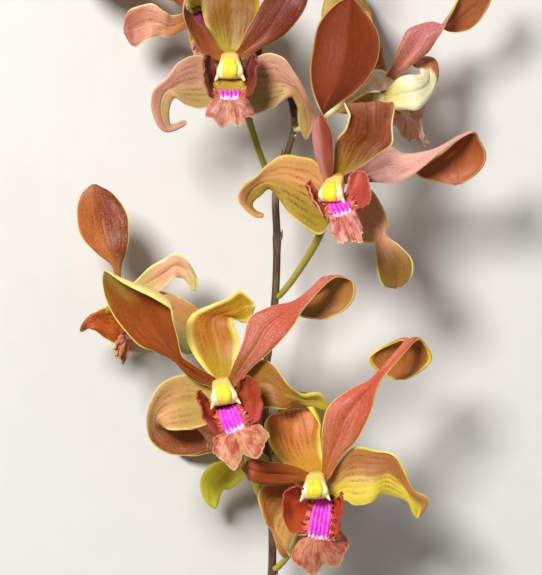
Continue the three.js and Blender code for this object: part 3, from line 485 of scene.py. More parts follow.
def bladeShape(rows, make, table=-math.inf, seed=0, rolls=()):
    # a blade's surface through its rows; nothing of it comes below the table
    columns = list(zip(*rows))
    sections = {}

    def rollAngle(side, share):
        for rolledSide, degrees, flat, start, full, end in rolls:
            if side * rolledSide > 0 and start < share < end:
                amount = (share - start) / (full - start) if share < full else (end - share) / (end - full)
                return math.radians(degrees) * amount * amount * (3 - 2 * amount), flat
        return 0, 1

    def edges(share):
        run = [alongRun(column, share) for column in columns]
        return Vector(run[0:3]), Vector(run[3:6]), run[6]

    def section(share):
        if share not in sections:
            left, right, cup = edges(share)
            ahead = edges(min(share + make["growthStep"], 1))
            behind = edges(max(share - make["growthStep"], 0))
            growth = ahead[0] + ahead[1] - behind[0] - behind[1]
            face = (right - left).cross(growth).normalized()
            sections[share] = ((left + right) / 2, right - left, face, cup)
        return sections[share]

    def surface(side, run):
        # the outline, rounded off at the tip and a little uneven
        past = max((run - (1 - make["tipShare"])) / make["tipShare"], 0)
        share = run if past == 0 else 1 - make["tipShare"] * (1 - math.sin(past * math.pi / 2))
        narrowing = max(math.cos(past * math.pi / 2), make["tipEnd"])
        strayed = noise.noise((math.copysign(3, side), share * make["outlineCount"], seed))
        narrowing *= 1 + make["outline"] * strayed * side ** 2
        middle, chord, face, cup = section(share)
        # the relief grows from the foot; side runs from -1 to 1, so its powers act at the margins,
        # and each noise has its own rate across and its own seed
        grown = min(share * 4, 1)
        shift = make["waveShift"] if side > 0 else 0
        wave = make["waveHeight"] * math.sin(2 * math.pi * (make["waveCount"] * share + shift)) * side ** 2
        ruffle = make["ruffleHeight"] * noise.noise((side * 1.5, make["ruffleCount"] * share, seed + 5))
        ruffle *= abs(side) ** 4 * min(share * 2, 1)
        swell = make["swell"] * noise.noise((side * 1.3, share * make["swellCount"], seed + 9))
        groove = make["grooveDepth"] * math.exp(-(side / make["grooveWidth"]) ** 2)
        groove *= 1 - make["grooveFade"] * share
        roll = make["rollDepth"] * (max(abs(side) - make["rollFrom"], 0) / (1 - make["rollFrom"])) ** 2
        cupped = cup * chord.length * (1 - side * side) / 2
        reach, lift = rolledOver(abs(side), *rollAngle(side, share))
        depth = (wave + ruffle + swell - groove - roll) * grown - cupped + lift * chord.length / 2
        return middle + chord * (math.copysign(reach, side) * narrowing / 2) + face * (depth * narrowing)

    def shape(side, run):
        start = make["footShare"]
        if run < start:
            foot = surface(side, 0)
            point = (foot * make["footSink"]).lerp(foot, run / start)
        else:
            point = surface(side, (run - start) / (1 - start))
        point.z = max(point.z, table + make["thickness"] / 2)
        return point

    return shape


blooms = [
    {
      "name": "bloom1", "at": [-12.3, 67.6, 38], "nod": 63, "turn": 0, "lean": 0,
      "dorsalSepal": [
        [-2.4, 2.9, -0.7, 3, 2.9, -0.7, 0.1], [-5.1, 7.2, -1, 6, 7.2, -1, 0.15],
        [-7.5, 12, -1.5, 8.1, 12.6, -1.5, 0.12], [-8.4, 17, -2.5, 8.7, 17.5, -2.5, 0.05],
        [-7.8, 21.5, -4.5, 7.8, 22, -4.5, -0.1], [-5.8, 24, -8.5, 5.8, 24, -8.5, -0.2],
        [-3, 22.5, -11.5, 3, 22.5, -11.5, -0.2],
      ],
      "petalLeft": [
        [-3.9, 0.6, 1.2, -1.6, 3.1, 1.2, 0.1], [-8.4, 3, 2, -4.2, 5.4, 2, 0.1],
        [-11.4, 8.1, 4, -6.9, 10.2, 2, 0.1], [-13.5, 13.5, 6.5, -11.4, 14.4, 0.5, 0.1],
        [-13.2, 19.5, 7, -16.5, 18.6, -0.5, 0.1], [-11.5, 26.5, 5, -20.5, 23.5, 0, 0.15],
        [-12.5, 33, 2, -22, 30.5, 0, 0.1], [-15.5, 37.5, 0, -20, 36.5, -0.5, 0],
      ],
      "petalRight": [
        [1.6, 3.1, 1.2, 3.9, 0.6, 1.2, 0.1], [3, 5, 2, 9, 4.2, 2, 0.1],
        [5.1, 9.3, 2.5, 15.6, 7.8, 3, 0.12], [8.1, 15, 3, 19.8, 12, 4.5, 0.12],
        [11.4, 20.4, 4, 23.1, 17.4, 5.5, 0.1], [17, 25, 7, 23.5, 24, 1, 0.1],
        [22.5, 29, 6, 21.5, 32.5, -1, 0.1], [27.5, 32, 3, 22.5, 39, 0, 0.1],
        [28.5, 37.5, 1, 25, 41.5, 0, 0],
      ],
      "lateralLeft": [
        leftFoot, [-7.2, -13.6, -2, -9, 2.1, 0, 0.1],
        [-12.3, -13.2, 0, -14.7, 0.3, 1.5, 0.15], [-15.9, -10.8, 1, -18.6, -4.5, 2, 0.2],
        [-17.4, -11.7, 0, -22.8, -8.4, 2, 0.2], [-18.3, -15.3, -1, -23.1, -14.7, 1, 0.2],
        [-17.4, -18.6, -2, -19.8, -20.7, -1, 0.2], [-13.4, -16.4, -3, -12.9, -19.6, -3, 0.1],
      ],
      "lateralRight": [
        rightFoot, [9.6, 2.4, 0, 6, -15.4, -2, 0.1],
        [15, 1.8, 1.5, 12, -14.1, -0.5, 0.15], [18.3, -2.1, 2, 15.6, -11.4, 0.5, 0.2],
        [21.3, -6.6, 1.5, 18.6, -10.5, 0, 0.15], [23.7, -12, 0, 20.4, -14.1, -2, 0.15],
        [25.8, -16.5, -3, 20.7, -18.6, -4, 0.2], [24.6, -22.5, -5, 21.3, -23.4, -6, 0.1],
      ],
      "stalk": [[0.2, 32.2, 24.1], [-4, 42, 25.4], [-8, 55, 28.5], [-11, 65, 32.4], [-12.3, 68.4, 34.6]],
    },
    {
      "name": "bloom2", "at": [34.2, 60.7, 24], "nod": 62, "turn": 135, "lean": 0,
      "dorsalSepal": [
        [-1.4, 2.9, -1.4, 1.2, 2.9, 1.4, 0.1], [-6, 8, -3, -0.3, 7.5, 0, 0.1],
        [-9, 14, -5, -1.5, 13.5, -2, 0.1], [-8.5, 20, -8, -3.3, 18, -5, 0.1],
        [-7, 23, -11, -4, 22, -9, 0],
      ],
      "petalLeft": petal(way=118, rise=-46, bend=-24, twist=12, length=37, width=14, foot=2.9, level=-2.2),
      "petalRight": [
        [0.2, 2.8, 3.2, 3.4, 2.2, 3.2, 0.1], [2.7, 6.9, 4, 7.8, 6, 4, 0.1],
        [4.8, 12.6, 4, 12.6, 9.9, 5, 0.1], [7.2, 17.1, 4, 15.6, 14.1, 6, 0.1],
        [14.4, 19.5, 3, 17.4, 16.8, 7, 0.1], [19, 17, 0, 20, 23, 7, 0.1],
        [24.6, 17, 1, 23.5, 29.5, 6, 0.12], [29.4, 20.4, 2, 28.5, 33, 5, 0.1],
        [33.5, 26, 3, 31.5, 31.5, 4, 0],
      ],
      "lateralLeft": [
        [-2.6, -7.5, 1, -1.4, -2.4, 1, 0], [-4, -8.4, 0, -4, -2.2, 1, 0.1],
        [-9, -8.4, -1, -9, -3, 0, 0.1], [-13.5, -8, -3.5, -13.5, -3.5, -2.5, 0.1],
        [-17, -6.5, -7, -17, -4, -6, 0],
      ],
      "lateralRight": [
        [0, -2.4, 2.4, -1.4, -7.5, 2.2, 0], [4, 2, 6.5, 5.5, -7.2, 6, -0.1],
        [8, 3.2, 7.5, 10, -7, 7, -0.15], [11, 3.4, 5, 14, -2.5, 4, -0.15],
        [10.5, 5.2, 1, 16.3, 3.2, 1, -0.1], [9, 6.2, -2, 15, 8.4, -2, -0.1],
        [7.5, 5.6, -4, 10, 9.4, -4.5, 0],
      ],
      "stalk": [[7.9, 47.6, 23.5], [14, 50, 25], [22, 55.5, 27.5], [27, 58.6, 27.4], [31.2, 60.9, 25.7]],
    },
    {
      "name": "bloom3", "at": [20.1, 30.7, 40], "nod": 64, "turn": 4, "lean": 3, "flare": [-0.2, 0.7],
      "dorsalSepal": [
        [-1.8, 3.1, -0.7, 3.9, 3.1, -0.7, 0.1], [-1.4, 8, 0, 9.6, 6.6, -1, 0.12],
        [-0.6, 13.2, 0, 13.8, 10.2, -2, 0.12], [2.4, 16.8, 0.5, 16.5, 13.2, -2.5, 0.1],
        [3, 20.4, 0, 16.5, 19.2, -3, 0.05], [2.1, 23.4, -2, 16.8, 24.3, -4, -0.1],
        [5, 22.5, -7, 14, 23, -8.5, -0.2], [7, 19, -10, 12, 19.5, -11, -0.1],
      ],
      "petalLeft": [
        [-4.2, 0.6, 1.4, -1.8, 3.1, 1.4, 0.1], [-6, 6, 2.5, -1.6, 6.4, 3, 0.1],
        [-7.2, 11.4, 3, -1.8, 11.4, 4, 0.1], [-7.8, 15.9, 3, -2.4, 15.6, 5, 0.1],
        [-6.3, 20.1, 2, -4.2, 19.8, 6, 0.05], [0.9, 25, -0.5, -7, 25.6, 5, 0.08],
        [7.5, 30.3, -1, -8.4, 33, 4, 0.1], [12, 37.5, -1, -7.8, 40.5, 3, 0.1],
        [12, 45, -2, -6, 48, 1.5, 0.08], [8.4, 52, -3, -1.5, 54.3, 0, 0.05],
        [6, 56, -3.5, 1.5, 57, -2, 0],
      ],
      "petalRight": [
        [1.8, 3.1, 1.4, 4.2, 0.6, 1.4, 0.1], [6.6, 5.4, 1.8, 10.4, 1, 1, 0.1],
        [15, 11.1, 1, 15.6, 0.6, 2, 0.1], [19.5, 9.5, 1.5, 20, 2.2, 4, 0.1],
        [25.8, 10.2, 4, 25.6, 6, 6.5, 0.1], [30.6, 11.8, 5.5, 31, 10.3, 7.5, 0.05],
        [36, 14.6, 4, 39.8, 16, 5, 0], [29, 8, 0, 42.3, 14.1, 2.5, -0.1],
        [23.6, 4.2, -1, 44.3, 9.2, 1.5, -0.12], [27.2, 1.2, -1.5, 43.4, 4.4, 1, -0.12],
        [32.4, -0.3, -1, 39.6, 0.6, 0.5, 0],
      ],
      "lateralLeft": [
        leftFoot, [-5, -15, -2, -6.4, 6.6, 0, 0.1],
        [-9.9, -12.6, 0, -11.4, 8.7, 1.5, 0.15], [-14.4, -8.7, 0.5, -16.5, 8.7, 2.5, 0.15],
        [-17.7, -4.2, 0, -21.6, 5.7, 3, 0.15], [-20.4, -1.2, -1, -25.2, 1.8, 3, 0.2],
        [-23.4, -3, -2, -28.8, -1.5, 2, 0.2], [-25.2, -5.4, -3, -29.1, -5.1, 0, 0.2],
        [-24.3, -7.2, -4, -25.2, -9.3, -2, 0.2], [-22.2, -8.1, -4, -22.5, -10.2, -3, 0],
      ],
      "lateralRight": [
        rightFoot, [9, -1, -1, 3.6, -15.5, -4, 0.05],
        [12.6, -5.4, 0, 8.1, -17.4, -3, 0.05], [14.7, -10.5, 0, 11.4, -16.8, -1, 0.1],
        [14.6, -15.2, 0, 11.4, -17.8, 0, 0.1], [18.8, -18.4, 1, 11.4, -21.6, 0, 0.15],
        [22, -22.2, 0.5, 12, -26, -1, 0.15], [22.4, -27, -1, 13.2, -30, -3, 0.15],
        [20.4, -30, -3, 15.6, -31.4, -4, 0.1],
      ],
      "stalk": [[2.8, -2.2, 23.6], [8, 4.5, 25], [14.5, 15.5, 29], [18.5, 28, 34.2], [20.1, 31.6, 36.6]],
    },
    {
      "name": "bloom4", "at": [-43.8, -3.7, 22], "nod": 45, "turn": 60, "lean": -30,
      "dorsalSepal": [
        [1, 3.7, -0.9, 3.9, 1.7, -0.9, 0.1], [6.8, 9.4, -1, 9.6, 2.4, -1.4, 0.15],
        [11.2, 12, 0.5, 12.2, 4.4, 0, 0.2], [15, 13.8, 1, 14.4, 6.6, 1, 0.2],
        [18.6, 11.4, 0, 17.4, 6.6, 0, 0.15], [21.2, 7.5, -1, 19.4, 4.2, -1, 0.1],
        [22.5, 4.8, -2, 20.2, 1.8, -2, 0],
      ],
      "petalLeft": [
        [-3.4, 0.8, 1.6, -1.8, 3, 1.8, 0.1], [-3.7, 9.6, 3.4, -1.4, 10, 3.4, 0.1],
        [-9, 14.4, 4.4, 0.3, 15, 4.4, 0.15], [-13.5, 19.5, 4.4, 1.2, 20.4, 4.4, 0.2],
        [-14.7, 26.4, 4, 0, 26.7, 4, 0.2], [-13.5, 31.5, 3, -3.6, 31.8, 3, 0.15],
        [-11.5, 34.8, 2, -7.5, 34.6, 2, 0],
      ],
      "petalRight": [
        [3, 1, -2.2, 3, -0.8, -2.4, 0], [8.4, 2.4, -4.5, 8.2, -1, -5, 0.1],
        [15, 1.2, -3.2, 14, -13, -3.2, 0.1], [21.6, -2.7, -3, 18.9, -16.5, -3, 0.1],
        [23.5, -8, -4, 21.5, -13, -4, 0],
      ],
      "lateralLeft": [
        [-0.8, -8.4, -4, -1.6, -3.2, -2.4, 0], [-1.8, -13.4, -1.5, -4.6, -2.2, 0, 0.1],
        [-5.6, -11.6, 0, -7.6, -2.9, 0.5, 0.1], [-9, -9.2, 1, -10.4, -4.4, 1, 0.15],
        [-11.6, -8.7, 0, -12.6, -6.6, 0, 0.1], [-13, -10, -1.5, -14.1, -8.8, -1.5, 0],
      ],
      "lateralRight": sepal(way=-75, rise=-48, bend=10, length=22, width=12, foot=3.4, level=-2.6),
      "stalk": [
        [-3.6, -30, 21.6], [-14, -23, 15],
        [-28, -14, 9], [-41, -7, 8.5],
        [-47.5, -2.6, 11.5], [-48.3, -0.4, 16],
        [-46.6, -0.9, 19.6],
      ],
    },
    {
      "name": "bloom5", "at": [-14.7, -30.1, 46], "nod": 42, "turn": 2, "lean": 10, "flare": [-0.1, 0.6],
      "dorsalSepal": [
        [-2.8, 3.1, -0.7, 2.8, 3.3, -0.7, 0.1], [-6.4, 7.2, 0, 4.5, 9, 0, 0.12],
        [-9.6, 12.6, 0, 5.4, 14.1, -1, 0.12], [-10.5, 18, -0.5, 3.6, 18.6, -2, 0.1],
        [-9, 21.6, -1, 3.2, 20.4, -3, 0.05], [-4.5, 24.2, -1, 4.4, 20.4, -4, 0.05],
        [1.8, 26.8, -1, 6, 19.6, -4, 0.15], [5.6, 29.4, -1.5, 8.4, 19.8, -4, 0.2],
        [8.9, 27, -3, 10.5, 23, -4, 0],
      ],
      "petalLeft": [
        [-4.2, 0.6, 1.4, -1.8, 3.1, 1.4, 0.1], [-7.2, 1.8, 2.2, -5.1, 4.8, 2.2, 0.1],
        [-10.8, 4.5, 3, -8.7, 6.6, 4, 0.1], [-14.4, 8.1, 3, -12.3, 9, 6, 0.1],
        [-20.4, 10.8, 2.5, -13.2, 15, 8, 0.12], [-25.5, 13.2, 2, -14, 20.7, 9, 0.15],
        [-31, 19.5, 2, -14.5, 25.5, 9, 0.15], [-34.5, 25.5, 3, -18.5, 28.5, 9, 0.15],
        [-36.5, 31.5, 4, -25.5, 31.3, 9, 0.12], [-36.8, 36, 5, -32.4, 34, 9, 0.1],
      ],
      "petalRight": [
        [1.8, 3.1, 1.4, 4.2, 0.6, 1.4, 0.1], [4.2, 9, 2, 9, 6.4, 2.4, 0.1],
        [6.3, 14.7, 1.5, 14.1, 10.8, 3, 0.12], [8.1, 21, 0.5, 17.7, 14.4, 4, 0.12],
        [13.8, 24.2, 0.5, 21, 18.9, 5, 0.1], [21, 26.2, 2.5, 23.6, 23, 7, 0.1],
        [25.8, 29, 4.5, 27, 27.6, 8, 0.05], [30, 32.4, 4, 33, 33.8, 5, 0],
        [28.2, 29, -0.5, 38.4, 33, 1.5, -0.1], [23.4, 24.6, -1.5, 39.9, 28.6, 0.5, -0.12],
        [22.2, 21.4, -2, 38.7, 24, 0, -0.12], [26.4, 20.4, -2, 34.2, 20.7, -0.5, 0],
      ],
      "lateralLeft": [
        [-0.3, -8.6, -4, -0.9, -2.3, -1.8, 0], [-6, -11.4, -1, -8.1, 3.6, 0, 0.1],
        [-10.5, -12.3, 1, -13.5, 3.9, 2, 0.15], [-14.4, -12.6, 2, -18.6, 0.9, 3, 0.2],
        [-17, -12, 1, -21.6, -4.5, 3, 0.2], [-17, -11.6, -1.5, -22.5, -9.6, 1, 0.2],
        [-15, -10.6, -4.5, -21.3, -15.6, -2, 0.2], [-11.5, -10.6, -6.5, -17.1, -19.2, -4, 0.15],
        [-7.5, -11.5, -7.5, -11.1, -20.7, -5.5, 0.1], [-4, -14, -8, -4.8, -20.7, -7, 0],
      ],
      "lateralRight": [
        rightFoot, [9, 7.2, -1, 9.6, -6.5, -1.5, 0.1],
        [13.5, 8.1, 0, 14.4, -5.6, 0, 0.1], [17.4, 4.2, 1, 18.6, -6.3, 0, 0.1],
        [20.7, 0, 1, 21.6, -4.8, -1, 0.1], [24.6, -2.4, 0, 25.2, -5.4, -3, 0.1],
        [29.4, -1.8, -1, 28.4, -6, -5, 0.1], [32.4, -4.2, -3, 31, -8, -6, 0],
      ],
      "stalk": [
        [-2.1, -51.2, 22.3], [-8, -46, 25], [-12.5, -38, 31], [-14.6, -32, 39], [-14.7, -29.3, 42.6],
      ],
    },
    {
      "name": "bloom6", "at": [13.5, -58.3, 42], "nod": 9, "turn": -4, "lean": 2, "flare": [0.8, -0.4],
      "dorsalSepal": [
        [-2.9, 2.9, -0.7, 2.8, 3.3, -0.7, 0.1], [-10, 6, 0, 1.8, 8.6, 0, 0.1],
        [-13.5, 10.5, 0, 1.4, 13.5, -0.5, 0.12], [-15, 15.6, -0.5, 0.9, 18, -1.5, 0.1],
        [-14.7, 19.4, -2, -0.9, 21.9, -3, 0], [-12.6, 19.2, -6, -0.6, 21.6, -6, -0.1],
        [-9, 16, -9, 0, 18, -8.5, -0.1], [-6, 12.5, -10, 0.5, 13.5, -9.5, 0],
      ],
      "petalLeft": [
        [-4.4, 0.4, 1.6, -2.2, 3, 1.6, 0.1], [-9, -0.6, 4, -7.8, 5.1, 4.5, 0.1],
        [-13.8, -0.9, 7, -12.3, 5.7, 8, 0.12], [-18, -0.3, 9.5, -16.8, 6.4, 10.5, 0.12],
        [-20.8, 1.5, 9, -20, 6.6, 10, 0.1], [-22.2, 3.2, 7, -22, 5.6, 7.5, 0],
      ],
      "petalRight": [
        [1.6, 3.3, 1.4, 4.2, 1.2, 1.4, 0.1], [1.8, 9, 1.5, 7.5, 7.8, 2, 0.1],
        [1.8, 15.6, 1.5, 12, 12.3, 3, 0.12], [3.6, 22.5, 1, 14.7, 17.4, 4, 0.12],
        [9.6, 27.6, 1, 16.5, 22.2, 5, 0.1], [15.6, 30.8, 3, 18.4, 28.4, 7, 0.1],
        [20.8, 35.4, 5, 22.2, 34.4, 8, 0.05], [26.6, 42, 4, 29.6, 43.2, 4, 0],
        [20.6, 41, 0, 33, 41.4, 0, -0.1], [15.7, 37.4, -2, 34.6, 37, -2, -0.12],
        [17.8, 33, -3, 33, 33.4, -3, -0.12], [20.6, 30.4, -3, 30.2, 30.8, -3, 0],
      ],
      "lateralLeft": [
        leftFoot, [-4, -13.5, -3.6, -12, 1, -0.5, 0.1],
        [-6.6, -17, -3, -17.1, -3, 1, 0.12], [-8, -20, -2, -16.2, -9, 1, 0.15],
        [-8, -22, -1, -14.1, -13.5, 0, 0.15], [-6.5, -23.4, -3, -12.9, -17.7, -1, 0.15],
        [-5, -23, -6, -10.5, -22, -4, 0.1], [-4, -20, -8, -7.5, -22, -7.5, 0],
      ],
      "lateralRight": [
        rightFoot, [7.5, 6.6, 0, 8.1, -5.4, -1.5, 0.1],
        [12, 10.5, 1, 11.4, -6.9, 0, 0.12], [18, 9.3, 2, 16.5, -6, 1, 0.15],
        [23.4, 8.1, 2, 20.1, -3.6, 0, 0.15], [26.7, 2.7, 1, 24.6, -4.8, -1, 0.15],
        [29.1, -2.7, 0, 27.6, -6.3, -2, 0.15], [33.6, -5.4, -1, 28.8, -9, -3, 0.2],
        [33, -10, -3, 28.6, -11.2, -4, 0.1],
      ],
      "stalk": [[1.9, -84.6, 15.8], [7, -78, 22], [11, -69, 29], [13.2, -60.6, 36], [13.5, -57.4, 38.6]],
    },
    {
      "name": "bloom7", "at": [-6.3, -48.7, 12.5], "nod": 15, "turn": 170, "lean": 48,
      "dorsalSepal": [
        [-2.2, 3.3, 0.8, 2.2, 3.3, 0.8, 0.1], [-2, 7, 0.5, 4.6, 6, 0.5, 0.1],
        [0.5, 11, 0, 6, 9.5, 0, 0.1], [1.5, 13.5, -1, 4.8, 13, -1, 0],
      ],
      "petalLeft": petal(way=162, rise=-14, bend=20, length=25, level=-1.5, foot=3.2),
      "petalRight": petal(way=34, rise=2, bend=6, length=23, width=12, level=-1.2, foot=3.3),
      "lateralLeft": [
        [1.8, -5.4, 2.8, 1.4, -1.8, 1.8, 0], [-5, -11.5, 3, -7, -3.5, 2.4, 0.1],
        [-8, -12.3, 2.5, -12, -5, 2, 0.15], [-9, -14, 1, -15, -10, 1.5, 0.15],
        [-9.8, -16.5, 0, -14, -15, 0.5, 0.1], [-10, -18.2, -1, -11.6, -17.8, -1, 0],
      ],
      "lateralRight": [
        [1.8, -2.6, 1.8, 1.5, -8.5, 3.2, 0], [3.2, -6.6, 0.8, 0.8, -10.5, 2, 0.1],
        [4.6, -11, -1, 1.8, -13, 0, 0.1], [5, -14.5, -3, 2.4, -15, -2.6, 0.1],
        [4.8, -17.5, -5.5, 3, -17.5, -5.5, 0],
      ],
      "stalk": [[-1.8, -67, 18], [-4.2, -60, 20.5], [-6.6, -53, 20], [-7.2, -48.9, 15]],
    },
    {
      "name": "bloom8", "at": [-24.3, 86.2, 20], "nod": 20, "turn": 10, "lean": 25,
      "dorsalSepal": sepal(way=112, rise=-14, bend=46, length=31, foot=3.2, level=-0.8),
      "petalLeft": petal(way=161, rise=22, bend=55, length=37, width=12, level=1.6, foot=2.8),
      "petalRight": petal(way=60, rise=0, bend=50, twist=40, length=30, width=14, level=1.4, foot=3.4),
      "lateralLeft": [
        [0.6, -6.6, -3.2, 0.2, -2.6, -2, 0], [-6, -10.5, 0, -5, -4.4, 0, 0.1],
        [-9.6, -10.2, 1, -8, -3, 1, 0.1], [-13.5, -11.7, 1, -12.4, -0.6, 1, 0.15],
        [-17.1, -13.5, 0, -18, -2.4, 0, 0.15], [-19.5, -11.5, -1, -20.4, -6.2, -1, 0],
      ],
      "lateralRight": sepal(way=-62, rise=-6, bend=30, length=30, width=13, foot=3.4, level=-3),
      "stalk": [[-4, 69.2, 23], [-8.3, 72.6, 12], [-14, 79, 7.5], [-22, 86, 9], [-24.8, 87, 16.2]],
    },
]

# foot, middle and tip colours of each face; the margin; veins; pale streaks
coral = ("#9c500c", "#c44a22", "#d06848")
russet = ("#984a0c", "#8c3810", "#84340e")
petalLook = {
    "front": coral, "back": russet,
    "edge": "#dcb85c", "edgeWidth": 0.06, "vein": "#7c1c06", "veinCount": 11, "veinStrength": 0.45,
    "streak": "#f4aa84", "streakStrength": 0.5}
lateralLook = {
    "front": ("#988010", "#b46c2c", "#ac5c2c"), "back": ("#98641c", "#804012", "#74340e"),
    "edge": "#e8d068", "edgeWidth": 0.1, "vein": "#702604", "veinCount": 9, "veinStrength": 0.6,
    "streak": "#ecbc78", "streakStrength": 0.4}
looks = {
    "dorsalSepal": {
        "front": ("#ac8810", "#bc6c10", "#b07010"), "back": ("#bc8c14", "#b0720a", "#d8b414"),
        "edge": "#ecd860", "edgeWidth": 0.24, "vein": "#84300c", "veinCount": 10, "veinStrength": 0.8,
        "streak": "#ecbc5c", "streakStrength": 0.25},
    "petalLeft": petalLook,
    "petalRight": petalLook,
    "lateralLeft": lateralLook,
    "lateralRight": lateralLook,
}
